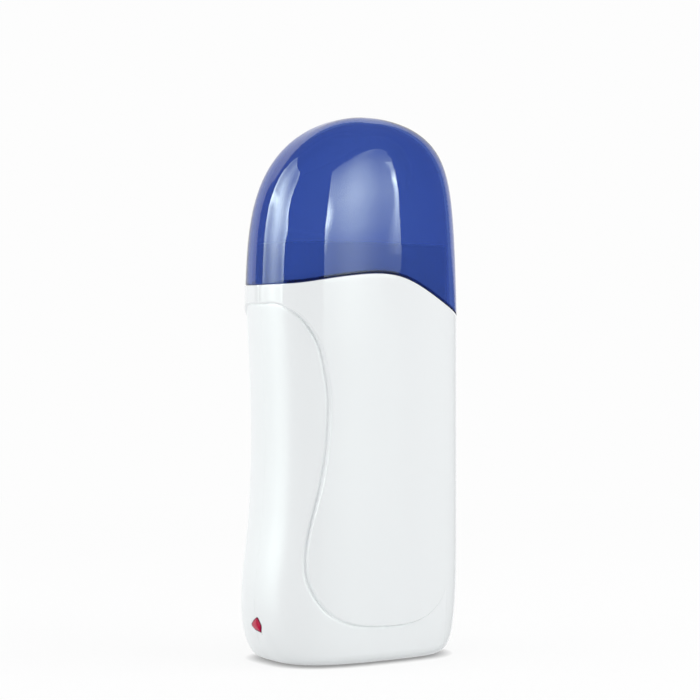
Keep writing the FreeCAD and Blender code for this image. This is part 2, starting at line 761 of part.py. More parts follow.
def build_heater():
    """Heater stack from the chamber outwards: plate, film, strip, tablets, strip, clip."""
    body = new_body("plate")
    levels = (("pressing_face", "window_half - window_gap", "window_low + window_gap",
               "window_high - window_gap", "chamber_deep / 2", "liner_wall"),
              ("flange", "window_half + flange_extra", "window_low - flange_extra + 3",
               "window_high + flange_extra", "chamber_deep / 2 + liner_wall", "flange_thick"))
    for name, half, low, high, y_low, thick in levels:
        sketch = plane_sketch(body, f"{name}_outline", "XZ_Plane", f"-({y_low})")
        draw_rectangle(sketch, (f"-({half})", half), (low, high))
        extrude(body, "Pad", name, sketch, thick, reverse=True)
    node(body, "heater_plate")

    film_in = "film_inner_face"
    film_outer = block("film_outer", ("-film_half", "film_half"),
                       (film_in, "clip_front_face"), ("film_low", "film_high"))
    film_inner = block("film_inner", ("-film_half + film_thick", "film_half - film_thick"),
                       (f"{film_in} + film_thick", "clip_front_face - film_thick"),
                       ("film_low - 1", "film_high + 1"))
    node(cut("film_cut", film_outer, film_inner), "insulating_film")

    strip_low, strip_high = "film_low + 1", "film_high - 1"
    strips = (("inner_electrode", f"{film_in} + film_thick", "-lug_centre"),
              ("outer_electrode", f"{film_in} + film_thick + strip_thick + tablet_thick",
               "lug_centre"))
    for label, y_low, lug in strips:
        outlines = [(("-strip_half", "strip_half"), (strip_low, strip_high)),
                    ((f"{lug} - lug_half", f"{lug} + lug_half"), ("lug_low", f"{strip_low} + 1"))]
        upright_plate(label, label, outlines, y_low, "strip_thick")

    tablet_y = f"{film_in} + film_thick + strip_thick"
    middle = "(film_low + film_high) / 2"
    tablets = []
    for name, low in (("lower", f"{middle} - tablet_gap / 2 - tablet_high"),
                      ("upper", f"{middle} + tablet_gap / 2")):
        tablets.append(block(f"{name}_tablet", ("-tablet_half", "tablet_half"),
                             (tablet_y, f"{tablet_y} + tablet_thick"),
                             (low, f"{low} + tablet_high")))
    node(group("tablets", tablets), "ptc_tablets")

    clip_outer = block("clip_outer", ("-clip_half", "clip_half"),
                       (film_in, "clip_back_face"), ("clip_low", "clip_high"))
    clip_inner = block("clip_inner", ("-clip_half + clip_thick", "clip_half - clip_thick"),
                       (f"{film_in} - 1", "clip_front_face"),
                       ("clip_low - 1", "clip_high + 1"))
    node(cut("clip_cut", clip_outer, clip_inner), "heater_clip")


def build_spring():
    """Bowed leaf that pushes the cartridge back against the heater plate."""
    low, high = size("spring_low"), size("spring_high")
    middle, thick, half = (low + high) / 2, size("spring_thick"), size("spring_half")

    def bow(outward):
        ends = -size("spring_end_in") - outward
        return [Vector(-half, ends, low), Vector(-half, -size("spring_mid_in") - outward, middle),
                Vector(-half, ends, high)]

    inner, outer = bow(0.0), bow(thick)
    edges = [Part.Arc(*inner).toShape(), Part.makeLine(inner[2], outer[2]),
             Part.Arc(*outer[::-1]).toShape(), Part.makeLine(outer[0], inner[0])]
    node(form("spring", Part.Face(Part.Wire(edges)).extrude(Vector(2 * half, 0, 0))),
         "cartridge_spring")


# ---------------------------------------------------------------- electrical parts

def build_fuse():
    """Thermal fuse under the live lug, in its sleeve, with the two crimps."""
    spot = ("-lug_centre", "fuse_in")
    case = rod("fuse_case", "z", "fuse_radius", "fuse_high - fuse_low - 2",
               (*spot, "fuse_low + 1"))
    lead = rod("fuse_lead", "z", "lead_radius", "crimp_low - fuse_low + 1.5",
               (*spot, "fuse_low - 1.5"))
    node(fuse("fuse_joined", [case, lead]), "thermal_fuse")
    sleeve = rod("sleeve_outer", "z", "fuse_sleeve_radius", "fuse_high - fuse_low",
                 (*spot, "fuse_low"))
    bore = rod("sleeve_bore", "z", "fuse_radius", "fuse_high - fuse_low + 2",
               (*spot, "fuse_low - 1"))
    node(cut("sleeve_cut", sleeve, bore), "fuse_sleeve")
    crimps = [rod(f"{name}_crimp", "z", "crimp_radius", "lug_low - crimp_low",
                  (across, into, "crimp_low"))
              for name, across, into in (("live", "-lug_centre", "fuse_in - 0.4"),
                                         ("neutral", "lug_centre", "fuse_in + 0.7"))]
    node(group("crimps", crimps), "crimp_terminals")


def build_inlet():
    """Two-pole appliance inlet: moulded housing with a double-round socket, and its pins."""
    body = new_body("inlet")
    low, high = "inlet_height - inlet_half_high", "inlet_height + inlet_half_high"
    levels = (("inlet_block", "inlet_half_wide", low, high, "inlet_back",
               "inlet_face - inlet_back"),
              ("inlet_flange_pad", "inlet_half_wide + inlet_flange", f"{low} - inlet_flange",
               f"{high} + inlet_flange", "inlet_flange_back",
               "inlet_flange_face - inlet_flange_back"))
    for name, half, z_low, z_high, y_low, thick in levels:
        sketch = plane_sketch(body, f"{name}_outline", "XZ_Plane", f"-({y_low})")
        draw_rectangle(sketch, (f"-({half})", half), (z_low, z_high))
        whole = extrude(body, "Pad", name, sketch, thick, reverse=True)
    doc.recompute()
    solid_volume = whole.Shape.Volume
    for name, across in (("left", "-socket_spread"), ("right", "socket_spread")):
        sketch = plane_sketch(body, f"{name}_lobe_outline", "XZ_Plane", "-inlet_face")
        draw_circle(sketch, across, "inlet_height", "socket_lobe")
        extrude(body, "Pocket", f"{name}_lobe", sketch, "socket_depth", reverse=True)
    for name, across in (("left", "-pin_spread"), ("right", "pin_spread")):
        sketch = plane_sketch(body, f"{name}_bore_outline", "XZ_Plane", "-inlet_face")
        draw_circle(sketch, across, "inlet_height", "pin_radius")
        bored = extrude(body, "Pocket", f"{name}_bore", sketch, "inlet_face", reverse=True)
    doc.recompute()
    if bored.Shape.Volume > solid_volume - 500:
        raise ValueError("inlet: the socket cuts nothing")
    node(body, "inlet_housing")

    pins = []
    for name, across in (("left", "-pin_spread"), ("right", "pin_spread")):
        pin = rod(f"{name}_pin_rod", "y", "pin_radius", "inlet_face - pin_short - inlet_back",
                  (across, "inlet_back", "inlet_height"))
        tag = block(f"{name}_pin_tag", (f"{across} - 1", f"{across} + 1"),
                    ("inlet_back - 0.8", "inlet_back"), ("inlet_height - 4", "inlet_height + 2.5"))
        pins.append(fuse(f"{name}_pin", [pin, tag]))
    node(group("pins", pins), "inlet_pins")


def build_lamp():
    """Red lens at the foot of the grip, the neon lamp behind it and its small board."""
    face, back = -size("lens_face"), -size("lens_back")
    prism = drop_prism(face, back)
    rim = [edge for edge in prism.Edges if edge.BoundBox.XMax < face + 1e-3]
    lens = prism.makeFillet(size("tip_radius") - 0.05, rim)
    flange = drop_prism(back, back + 1.2, size("lens_flange"))
    node(form("lens", lens.fuse(flange)), "lamp_lens")

    bulb_start = "-board_left - 3 - bulb_long"
    centre = ("drop_along + 0.6", "drop_height")
    glass = rod("bulb_glass", "x", "bulb_radius", "bulb_long", (bulb_start, *centre))
    leads = [rod("bulb_lead", "x", "lead_radius", "3", ("-board_left - 3", centre[0],
                                                        f"{centre[1]} + {offset}"))
             for offset in (-1.2, 1.2)]
    node(fuse("bulb_joined", [glass] + leads), "neon_lamp")

    upright_x = ("-board_left", "-board_left + board_thick")
    node(block("board", upright_x, ("-board_half", "board_half"),
               ("base_lift + floor_wall", "board_high")),
         "lamp_board")
    node(rod("resistor", "z", "1.2", "7", ("-board_left + board_thick + 1.2", "4.5", "9")),
         "lamp_resistor")


def wire_path(points, bend):
    """Straight runs joined by tangent arcs of one radius."""
    edges, start = [], points[0]
    for before, corner, after in zip(points, points[1:], points[2:]):
        back = (before - corner).normalize()
        ahead = (after - corner).normalize()
        half_turn = (math.pi - back.getAngle(ahead)) / 2
        run = bend * math.tan(half_turn)
        entry, leave = corner + back * run, corner + ahead * run
        inward = (back + ahead).normalize()
        nearest = corner + inward * (bend / math.cos(half_turn) - bend)
        edges += [Part.makeLine(start, entry), Part.Arc(entry, nearest, leave).toShape()]
        start = leave
    edges.append(Part.makeLine(start, points[-1]))
    return Part.Wire(edges)


def wire_tube(label, points):
    """Insulated wire along a path, checked by its volume."""
    path = wire_path([Vector(*point) for point in points], size("wire_bend"))
    radius = size("wire_radius")
    start = Vector(*points[0])
    circle = Part.makeCircle(radius, start, Vector(*points[1]) - start)
    tube = path.makePipeShell([Part.Wire([circle])], True, False)
    expected = math.pi * radius ** 2 * path.Length
    if not math.isclose(tube.Volume, expected, rel_tol=0.01):
        raise ValueError(f"{label}: volume {tube.Volume:.1f}, expected {expected:.1f}")
    return tube


def build_wires():
    """Inner wiring from the inlet's tags to the fuse, the neutral crimp and the lamp board."""
    pin, tag = size("pin_spread"), size("inlet_back") - 0.8
    lug, rear = size("lug_centre"), size("fuse_in")
    high, low = size("inlet_height") + 1.4, size("inlet_height") - 2.4
    board = -size("board_left") + size("board_thick")
    fuse_foot = size("fuse_low") - 1.5
    live = [(-pin, tag, high), (-pin, -1, high), (-lug, 0, 38), (-lug, rear, 44),
            (-lug, rear, fuse_foot)]
    neutral_end = rear + 0.7
    neutral = [(pin, tag, high), (pin, -1, high), (lug, 0, 38), (lug, neutral_end, 44),
               (lug, neutral_end, size("crimp_low"))]
    lamp_live = [(-pin, tag, low), (-pin, 0.2, low), (-12, 0, 10), (board, 0, 10)]
    lamp_neutral = [(pin, tag, low), (pin, 2, low), (pin, 2, 12), (-12, -3.5, 12),
                    (-17, -6, 16), (board, -6, 16)]
    wires = (("live_wire", live), ("neutral_wire", neutral), ("lamp_live_wire", lamp_live),
             ("lamp_neutral_wire", lamp_neutral))
    for label, points in wires:
        node(form(f"{label}_tube", wire_tube(label, points)), label)


def build_screws():
    """Two screws driven from the rear into the front shell's bosses."""
    screws = []
    for label, across in (("left", "-screw_across"), ("right", "screw_across")):
        head = rod(f"{label}_screw_head", "y", "head_radius", "head_tall",
                   (across, "head_seat", "screw_height"))
        shank = rod(f"{label}_screw_shank", "y", "shank_radius", "head_seat + shank_end",
                    (across, "-shank_end", "screw_height"))
        bar = {"x": ("1.9", "0.4"), "z": ("0.4", "1.9")}
        slots = [block(f"{label}_drive_{way}", (f"{across} - {wide}", f"{across} + {wide}"),
                       ("head_seat + head_tall - 1.1", "head_seat + head_tall + 1"),
                       (f"screw_height - {tall}", f"screw_height + {tall}"))
                 for way, (wide, tall) in bar.items()]
        screws.append(cut(f"{label}_screw", fuse(f"{label}_screw_blank", [head, shank]),
                          fuse(f"{label}_drive", slots)))
    node(group("screws", screws), "shell_screws")


# ---------------------------------------------------------------- assembly

def add_derived_cells():
    """Faces of the heater stack, worked out from the thicknesses in it."""
    derived = {
        "film_inner_face": "=chamber_deep / 2 + liner_wall + flange_thick",
        "clip_front_face": "=film_inner_face + 2 * film_thick + 2 * strip_thick + tablet_thick",
        "clip_back_face": "=clip_front_face + clip_thick",
    }
    for offset, (alias, formula) in enumerate(derived.items(), start=1):
        sheet.set(f"A{frame_row + offset}", alias)
        sheet.set(f"B{frame_row + offset}", formula)
        sheet.setAlias(f"B{frame_row + offset}", alias)
        ALIASES.add(alias)
    doc.recompute()


def check_document():
    """Stop if anything failed quietly, before a file is written."""
    doc.recompute()
    failed = [o.Name for o in doc.Objects if {"Invalid", "Error"} & set(o.State)]
    bad = [n.Label for n in nodes if n.Shape.isNull() or not n.Shape.isValid()]
    if failed or bad:
        raise ValueError(f"failed objects: {failed}, bad shapes: {bad}")


def export_nodes():
    os.makedirs("parts", exist_ok=True)
    for piece in nodes:
        piece.Shape.exportStep(f"parts/{piece.Label}.step")
        box = piece.Shape.BoundBox
        print(f"{piece.Label:18s} solids {len(piece.Shape.Solids)} volume {piece.Shape.Volume:9.1f} "
              f"x {box.XMin:7.2f} {box.XMax:7.2f} y {box.YMin:7.2f} {box.YMax:7.2f} "
              f"z {box.ZMin:7.2f} {box.ZMax:7.2f}")


add_derived_cells()
build_liner()
shell_tools = {
    "above_grip_edge": form("above_grip_edge", region_above(GRIP_EDGE)),
    "above_seam": form("above_seam", region_above(SEAM_LINE)),
    "cavity": form("cavity", cavity_form()),
    "rib_limit": form("rib_limit", cavity_form(size("rib_root"))),
}
build_front_shell(shell_tools)
build_rear_shell(shell_tools)
build_cap()
build_neck()
build_heater()
build_spring()
build_fuse()
build_inlet()
build_lamp()
build_wires()
build_screws()
check_document()
export_nodes()
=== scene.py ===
"""Looks of the roll-on wax heater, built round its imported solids. Lengths are in millimetres
until they are written to a mesh. Sections are drawn about the axis of the cap and the chamber."""
import math

import bmesh
import bpy
import numpy as np
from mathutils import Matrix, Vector


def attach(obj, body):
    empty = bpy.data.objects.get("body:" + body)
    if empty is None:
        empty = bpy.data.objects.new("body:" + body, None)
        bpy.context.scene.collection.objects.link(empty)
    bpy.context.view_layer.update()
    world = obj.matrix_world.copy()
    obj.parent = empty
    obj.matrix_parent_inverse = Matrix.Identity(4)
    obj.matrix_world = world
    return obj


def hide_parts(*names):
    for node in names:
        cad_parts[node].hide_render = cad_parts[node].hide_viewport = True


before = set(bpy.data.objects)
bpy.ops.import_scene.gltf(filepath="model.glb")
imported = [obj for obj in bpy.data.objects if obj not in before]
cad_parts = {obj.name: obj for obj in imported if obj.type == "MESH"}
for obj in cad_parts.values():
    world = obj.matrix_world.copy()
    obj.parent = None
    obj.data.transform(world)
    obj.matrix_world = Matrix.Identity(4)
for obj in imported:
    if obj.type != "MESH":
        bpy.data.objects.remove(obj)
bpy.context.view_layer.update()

MM = 0.001
AXIS_X = 1.2            # the section axis in the heater's own frame

# outer form
HALF_WIDTH, HALF_DEPTH, FULL_HEIGHT = 40.0, 26.0, 200.0
POWER = 3.0             # of the rounded sections
LIFT = 0.6              # the feet's height
GRIP_BAND = 11.0        # width of the narrow side's part that follows the waist
WAIST_IN, WAIST_AT, WAIST_UP, WAIST_DOWN = 2.6, 80.0, 75.0, 60.0
FLARE_OUT, FLARE_AT, FLARE_REACH = 1.7, 20.0, 35.0
GRIP_CORNER = (8.5, 20.5)
HEEL_TAPER, HEEL_CORNER = (5.6, 38.6), (3.3, 9.5)
FACE_TAPER, FACE_CORNER = (1.2, 25.0), (3.0, 3.5)
STEP, FADE_FROM, FADE_TO = 0.8, 12.0, 26.0      # the panel's height, gone beyond FADE_TO
SIDE_WALL, FACE_WALL, FLOOR_WALL = 2.4, 2.8, 2.6
# cap
DOME_START, APEX_OFFSET, DRAFT, DRAFT_POWER = 125.0, 6.0, 2.3, 6
DOME_LEFT, DOME_RIGHT, DOME_DEEP = (4.1, 1.93), (7.7, 1.8), (3.0, 2.0)
CAP_WALL, CAP_GAP = 2.2, 0.2

SEAM_LINE = [(-46, 136.8), (-36, 137.0), (-27, 138.4), (-16, 140.0), (-4, 140.8), (5, 139.8),
             (13, 136.9), (24, 131.4), (34, 126.9), (46, 122.0)]
GRIP_EDGE = [(-39.99, 130.1), (-39.2, 130.1), (-37.2, 128.4), (-33.9, 125.2), (-30.7, 120.8),
             (-27.7, 115.3), (-25.6, 107.1), (-24.2, 97.0), (-24.2, 88.0), (-25.0, 76.9),
             (-27.1, 64.7), (-30.1, 52.7), (-32.0, 41.0), (-31.4, 31.1), (-27.1, 22.6),
             (-20.0, 17.1), (-11.8, 14.6), (-2.0, 13.8), (8.4, 13.9), (17.9, 16.4), (25.2, 22.5),
             (29.0, 33.0), (34.0, 48.0), (39.9, 60.0)]


# ---------------------------------------------------------------- outer form

def natural_spline(knots, values, at):
    """Smooth curve through values at the knots, straight at both ends."""
    knots, values = np.array(knots, float), np.array(values, float)
    steps = np.diff(knots)
    slopes = np.diff(values) / steps
    system = np.eye(len(knots))
    right = np.zeros(len(knots))
    for i in range(1, len(knots) - 1):
        system[i, i - 1:i + 2] = steps[i - 1], 2 * (steps[i - 1] + steps[i]), steps[i]
        right[i] = 6 * (slopes[i] - slopes[i - 1])
    bends = np.linalg.solve(system, right)
    at = np.clip(at, knots[0], knots[-1])
    i = np.clip(np.searchsorted(knots, at) - 1, 0, len(steps) - 1)
    before, after = at - knots[i], knots[i + 1] - at
    return (bends[i] * after ** 3 + bends[i + 1] * before ** 3) / (6 * steps[i]) \
        + (values[i] / steps[i] - bends[i] * steps[i] / 6) * after \
        + (values[i + 1] / steps[i] - bends[i + 1] * steps[i] / 6) * before


def corner_inset(rise, corner):
    """How far a round corner (width, height) draws in at a rise above its foot."""
    across, tall = corner
    part = np.clip(1 - rise / tall, 0, 1)
    return across * (1 - np.sqrt(1 - part ** 2))


def bell(distance, reach):
    """Smooth bump of height 1 that ends at the reach."""
    return np.where(abs(distance) < reach, np.cos(np.pi / 2 * distance / reach) ** 2, 0)


def grip_reach(z):
    """How far the waisted narrow side reaches towards -X."""
    above = z - WAIST_AT
    flare = np.maximum(z - FLARE_AT, 0)
    return (HALF_WIDTH - WAIST_IN * bell(above, np.where(above > 0, WAIST_UP, WAIST_DOWN))
            + FLARE_OUT * bell(flare, FLARE_REACH) - corner_inset(z - LIFT, GRIP_CORNER))


def heel_reach(z):
    """How far the other narrow side reaches towards +X."""
    return HALF_WIDTH - corner_inset(z - LIFT, HEEL_TAPER) - corner_inset(z - LIFT, HEEL_CORNER)


def face_reach(z):
    """How far the front panel reaches towards -Y, and the rear one towards +Y."""
    return HALF_DEPTH - corner_inset(z - LIFT, FACE_TAPER) - corner_inset(z - LIFT, FACE_CORNER)


def section(turn, left, right, deep):
    """Half a section, from its +X end at turn 0 to its -X end at turn pi."""
    across, along = np.cos(turn), np.abs(np.sin(turn))
    scale = (abs(across) ** POWER + along ** POWER) ** (-1 / POWER)
    return (right - left) / 2 + (right + left) / 2 * across * scale, deep * along * scale


TURNS = np.linspace(math.pi, 0, 4001)
RING_X, RING_Y = section(TURNS, HALF_WIDTH, HALF_WIDTH, HALF_DEPTH)
RING_WAY = np.concatenate([[0], np.cumsum(np.hypot(np.diff(RING_X), np.diff(RING_Y)))])
HALF_RING = RING_WAY[-1]        # way round half a section, from the -X end to the +X end


def seam_height(x):
    """Height of the seam between the housing and the cap."""
    return natural_spline(*zip(*SEAM_LINE), x)


EDGE_POINTS, EDGE_BATCH = 260, 8000
EDGE_START = -5.0       # the curve starts beyond the end of the half ring


def edge_curve():
    """The grip's edge, unrolled: way round the section against height."""
    points = np.array(GRIP_EDGE)
    way = np.interp(points[:, 0], RING_X, RING_WAY)
    flat = np.stack([way, points[:, 1]], 1)
    along = np.concatenate([[0], np.cumsum(np.hypot(*np.diff(flat, axis=0).T))])
    fine = np.linspace(0, along[-1], EDGE_POINTS)
    curve = np.stack([natural_spline(along, flat[:, 0], fine),
                      natural_spline(along, flat[:, 1], fine)], 1)
    curve[0, 0] = EDGE_START
    return curve


EDGE_CURVE = edge_curve()


def edge_distance(way, z):
    """Distance from the grip's edge: positive on the panel, negative on the grip."""
    start, run = EDGE_CURVE[:-1], np.diff(EDGE_CURVE, axis=0)
    square = (run ** 2).sum(1)
    result = np.empty(len(way))
    for low in range(0, len(way), EDGE_BATCH):
        batch = slice(low, low + EDGE_BATCH)
        spots = np.stack([way[batch], z[batch]], 1)
        away = spots[:, None] - start[None]
        part = np.clip((away * run).sum(2) / square, 0, 1)
        gap = away - part[..., None] * run
        length = np.hypot(gap[..., 0], gap[..., 1])
        best = length.argmin(1)
        rows = np.arange(len(spots))
        side = run[best, 0] * away[rows, best, 1] - run[best, 1] * away[rows, best, 0]
        result[batch] = length[rows, best] * np.sign(side)
    return result


def smooth_step(value, low, high):
    """Smooth rise from 0 at low to 1 at high."""
    part = np.clip((value - low) / (high - low), 0, 1)
    return part * part * (3 - 2 * part)


STEP_HALF = 0.30        # half the width over which the step rises
FADE_MARGIN = 4.0       # FADE_TO plus this is where grip and panel are one face
GROOVE_DEPTH, GROOVE_SPREAD, GROOVE_AT = 1.0, 0.50, -0.35   # on the grip's side of the edge
# shares of the groove's depth, and where each gives way to the whole depth or begins
GROOVE_SIDE, GROOVE_SIDE_WAYS = 0.14, (12, 26)
GROOVE_LOW, GROOVE_LOW_HEIGHTS = 1.15, (36, 48)
GROOVE_UNDER, GROOVE_UNDER_X = 0.25, (-33, -20)
GROOVE_END_X = (4, 13)
SPLIT_DEPTH, SPLIT_SPREAD = 0.08, 0.16      # fine line where the two shells meet


def groove_share(way, x, z):
    """The groove is shallow round the narrow side and under the panel, and runs out half way
    along the panel's foot."""
    side = GROOVE_SIDE + (1 - GROOVE_SIDE) * smooth_step(way, *GROOVE_SIDE_WAYS)
    low = GROOVE_LOW + (1 - GROOVE_LOW) * smooth_step(z, *GROOVE_LOW_HEIGHTS)
    under = 1 - (1 - GROOVE_UNDER) * smooth_step(x, *GROOVE_UNDER_X)
    return side * low * under * (1 - smooth_step(x, *GROOVE_END_X))


def skin(way, z):
    """Point of the housing's outside at a way round the section and a height."""
    turn = np.interp(way, RING_WAY, TURNS)
    left, right, deep = grip_reach(z), heel_reach(z), face_reach(z)
    panel_x, panel_y = section(turn, HALF_WIDTH, right, deep)
    hinge = GRIP_BAND - left
    grip_x = np.where(panel_x < hinge,
                      hinge - (hinge - panel_x) * (left + hinge) / (HALF_WIDTH + hinge), panel_x)
    sunk = deep - STEP * (1 - smooth_step(grip_x, FADE_FROM, FADE_TO))
    share = np.clip(abs(grip_x - (right - left) / 2) / ((right + left) / 2), 0, 1)
    grip_y = sunk * (1 - share ** POWER) ** (1 / POWER)
    away = edge_distance(way, z)
    weight = np.maximum(smooth_step(away, -STEP_HALF, STEP_HALF),
                        smooth_step(panel_x, FADE_TO - FADE_MARGIN, FADE_TO + FADE_MARGIN))
    x = grip_x + (panel_x - grip_x) * weight
    y = grip_y + (panel_y - grip_y) * weight
    across = np.exp(-((away - GROOVE_AT) / GROOVE_SPREAD) ** 2)
    sink = GROOVE_DEPTH * groove_share(way, x, z) * across
    slant_x = np.sign(x) * share ** (POWER - 1) / HALF_WIDTH
    slant_y = np.clip(y / deep, 0, 1) ** (POWER - 1) / HALF_DEPTH
    length = np.hypot(slant_x, slant_y) + 1e-9
    split = SPLIT_DEPTH * np.exp(-(y / SPLIT_SPREAD) ** 2)
    return x - sink * slant_x / length - np.sign(x) * split, y - sink * slant_y / length


def dome(turn, z, wall):
    """Point of the cap's dome; a wall gives its inside."""
    apex = FULL_HEIGHT - wall
    part = np.clip((z - DOME_START) / (apex - DOME_START), 0, 1)
    left, right, deep = ((1 - part ** a) ** (1 / b) for a, b in (DOME_LEFT, DOME_RIGHT, DOME_DEEP))
    drawn = DRAFT * part * (1 - part ** DRAFT_POWER)
    half = HALF_WIDTH - wall
    return section(turn, (half + APEX_OFFSET) * left - drawn - APEX_OFFSET,
                   (half - APEX_OFFSET) * right - drawn + APEX_OFFSET,
                   (HALF_DEPTH - wall) * deep)


# ---------------------------------------------------------------- mesh tools

def ruled_sheet(columns, rows, width):
    """Flat sheet: X is the way across from 0 to width, Y counts the rows."""
    bm = bmesh.new()
    bmesh.ops.create_grid(bm, x_segments=columns, y_segments=rows, size=1)
    for v in bm.verts:
        v.co = Vector(((v.co.x + 1) / 2 * width, (v.co.y + 1) / 2 * rows, 0))
    return bm


def sheet_spots(bm):
    """Places of the sheet's vertices: way across and row."""
    spots = np.array([v.co[:2] for v in bm.verts])
    return spots[:, 0], spots[:, 1]


def move_vertices(bm, x, y, z):
    """Put the vertices at points given in millimetres about the section axis."""
    for v, spot in zip(bm.verts, np.stack([x + AXIS_X, y, z], 1) * MM):
        v.co = spot


def mark_vertices(bm, name, values):
    """Give the vertices an attribute that a material reads."""
    layer = bm.verts.layers.float.new(name)
    for v, value in zip(bm.verts, values):
        v[layer] = value


def refine(bm, nearness, bands):
    """Halve the sheet's cells near its features, once for each band."""
    for band in bands:
        edges = list(bm.edges)
        middles = np.array([((e.verts[0].co + e.verts[1].co) / 2)[:2] for e in edges])
        near = nearness(middles[:, 0], middles[:, 1]) < band
        bmesh.ops.subdivide_edges(bm, edges=[e for e, keep in zip(edges, near) if keep], cuts=1,
                                  use_grid_fill=True)


def piece(name, bm, body, material, sharp=None):
    """Turn a bmesh into a finished piece of the heater."""
    mesh = bpy.data.meshes.new(name)
    bmesh.ops.recalc_face_normals(bm, faces=bm.faces)
    bm.to_mesh(mesh)
    bm.free()
    mesh.shade_smooth()
    if sharp:
        mesh.set_sharp_from_angle(angle=math.radians(sharp))
    result = bpy.data.objects.new(name, mesh)
    bpy.context.scene.collection.objects.link(result)
    result.data.materials.append(material)
    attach(result, body)
    return result


def opened(target, cutters, sharp=38):
    """Cut the cutters out of a piece and apply the result."""
    for cutter in cutters:
        change = target.modifiers.new("opening", "BOOLEAN")
        change.operation, change.solver, change.object = "DIFFERENCE", "EXACT", cutter
    graph = bpy.context.evaluated_depsgraph_get()
    mesh = bpy.data.meshes.new_from_object(target.evaluated_get(graph))
    target.modifiers.clear()
    target.data = mesh
    mesh.shade_smooth()
    mesh.set_sharp_from_angle(angle=math.radians(sharp))
    for cutter in cutters:
        bpy.data.objects.remove(cutter)


def loose_object(name, bm):
    """Turn a bmesh into an object that is no piece of the heater."""
    mesh = bpy.data.meshes.new(name)
    bmesh.ops.recalc_face_normals(bm, faces=bm.faces)
    bm.to_mesh(mesh)
    bm.free()
    result = bpy.data.objects.new(name, mesh)
    bpy.context.scene.collection.objects.link(result)
    return result


# ---------------------------------------------------------------- materials

def socket(group, name, kind, inward, default=None):
    """Add a socket to a node group."""
    made = group.interface.new_socket(name=name, in_out="INPUT" if inward else "OUTPUT",
                                      socket_type=f"NodeSocket{kind}")
    if default is not None:
        made.default_value = default


def moulded_surface():
    """Group: slow colour drift, uneven polish and a fine ripple, as on a moulded or rolled face."""
    group = bpy.data.node_groups.new("surface_variation", "ShaderNodeTree")
    for name, kind, default in (("Color", "Color", (0.8, 0.8, 0.8, 1)), ("Drift", "Float", 0.02),
                                ("Drift Scale", "Float", 20.0), ("Roughness", "Float", 0.3),
                                ("Unevenness", "Float", 0.05), ("Grain Scale", "Float", 400.0)):
        socket(group, name, kind, True, default)
    for name, kind in (("Color", "Color"), ("Roughness", "Float"), ("Height", "Float")):
        socket(group, name, kind, False)
    nodes, links = group.nodes, group.links
    given, out = nodes.new("NodeGroupInput"), nodes.new("NodeGroupOutput")
    spot = nodes.new("ShaderNodeTexCoord")
    slow, fine = nodes.new("ShaderNodeTexNoise"), nodes.new("ShaderNodeTexNoise")
    slow.inputs["Detail"].default_value = 3
    fine.inputs["Detail"].default_value = 4
    for noise, scale in ((slow, "Drift Scale"), (fine, "Grain Scale")):
        links.new(spot.outputs["Object"], noise.inputs["Vector"])
        links.new(given.outputs[scale], noise.inputs["Scale"])

    def centred(noise, amount):
        away = nodes.new("ShaderNodeMath")
        away.operation = "SUBTRACT"
        links.new(noise.outputs["Fac"], away.inputs[0])
        away.inputs[1].default_value = 0.5
        scaled = nodes.new("ShaderNodeMath")
        scaled.operation = "MULTIPLY"
        links.new(away.outputs[0], scaled.inputs[0])
        links.new(given.outputs[amount], scaled.inputs[1])
        return scaled.outputs[0]

    tint = nodes.new("ShaderNodeVectorMath")
    tint.operation = "SCALE"
    gain = nodes.new("ShaderNodeMath")
    gain.operation = "ADD"
    gain.inputs[1].default_value = 1.0
    links.new(centred(slow, "Drift"), gain.inputs[0])
    links.new(given.outputs["Color"], tint.inputs[0])
    links.new(gain.outputs[0], tint.inputs["Scale"])
    links.new(tint.outputs[0], out.inputs["Color"])
    polish = nodes.new("ShaderNodeMath")
    polish.operation = "ADD"
    links.new(centred(slow, "Unevenness"), polish.inputs[0])
    links.new(given.outputs["Roughness"], polish.inputs[1])
    links.new(polish.outputs[0], out.inputs["Roughness"])
    links.new(fine.outputs["Fac"], out.inputs["Height"])
    return group


SURFACE = moulded_surface()


def material(name, colour, roughness, drift=0.03, drift_scale=25.0, unevenness=0.06,
             grain=600.0, depth=0.00002, bump=0.25, **settings):
    """Material of one finish: its variation comes from the group, the rest is set directly."""
    made = bpy.data.materials.new(name)
    made.use_nodes = True
    nodes, links = made.node_tree.nodes, made.node_tree.links
    shader = nodes["Principled BSDF"]
    group = nodes.new("ShaderNodeGroup")
    group.node_tree = SURFACE
    for key, value in (("Color", (*colour, 1)), ("Drift", drift), ("Drift Scale", drift_scale),
                       ("Roughness", roughness), ("Unevenness", unevenness),
                       ("Grain Scale", grain)):
        group.inputs[key].default_value = value
    links.new(group.outputs["Color"], shader.inputs["Base Color"])
    links.new(group.outputs["Roughness"], shader.inputs["Roughness"])
    if bump:
        ripple = nodes.new("ShaderNodeBump")
        ripple.inputs["Strength"].default_value = bump
        ripple.inputs["Distance"].default_value = depth
        links.new(group.outputs["Height"], ripple.inputs["Height"])
        links.new(ripple.outputs["Normal"], shader.inputs["Normal"])
    for key, value in settings.items():
        shader.inputs[key.replace("_", " ")].default_value = value
    return made


def tint_by_thickness(made, colour, density):
    """Absorb light inside a clear wall, so that it looks deeper where it is thicker."""
    nodes, links = made.node_tree.nodes, made.node_tree.links
    inside = nodes.new("ShaderNodeVolumeAbsorption")
    inside.inputs["Color"].default_value = (*colour, 1)
    inside.inputs["Density"].default_value = density
    links.new(inside.outputs[0], nodes["Material Output"].inputs["Volume"])


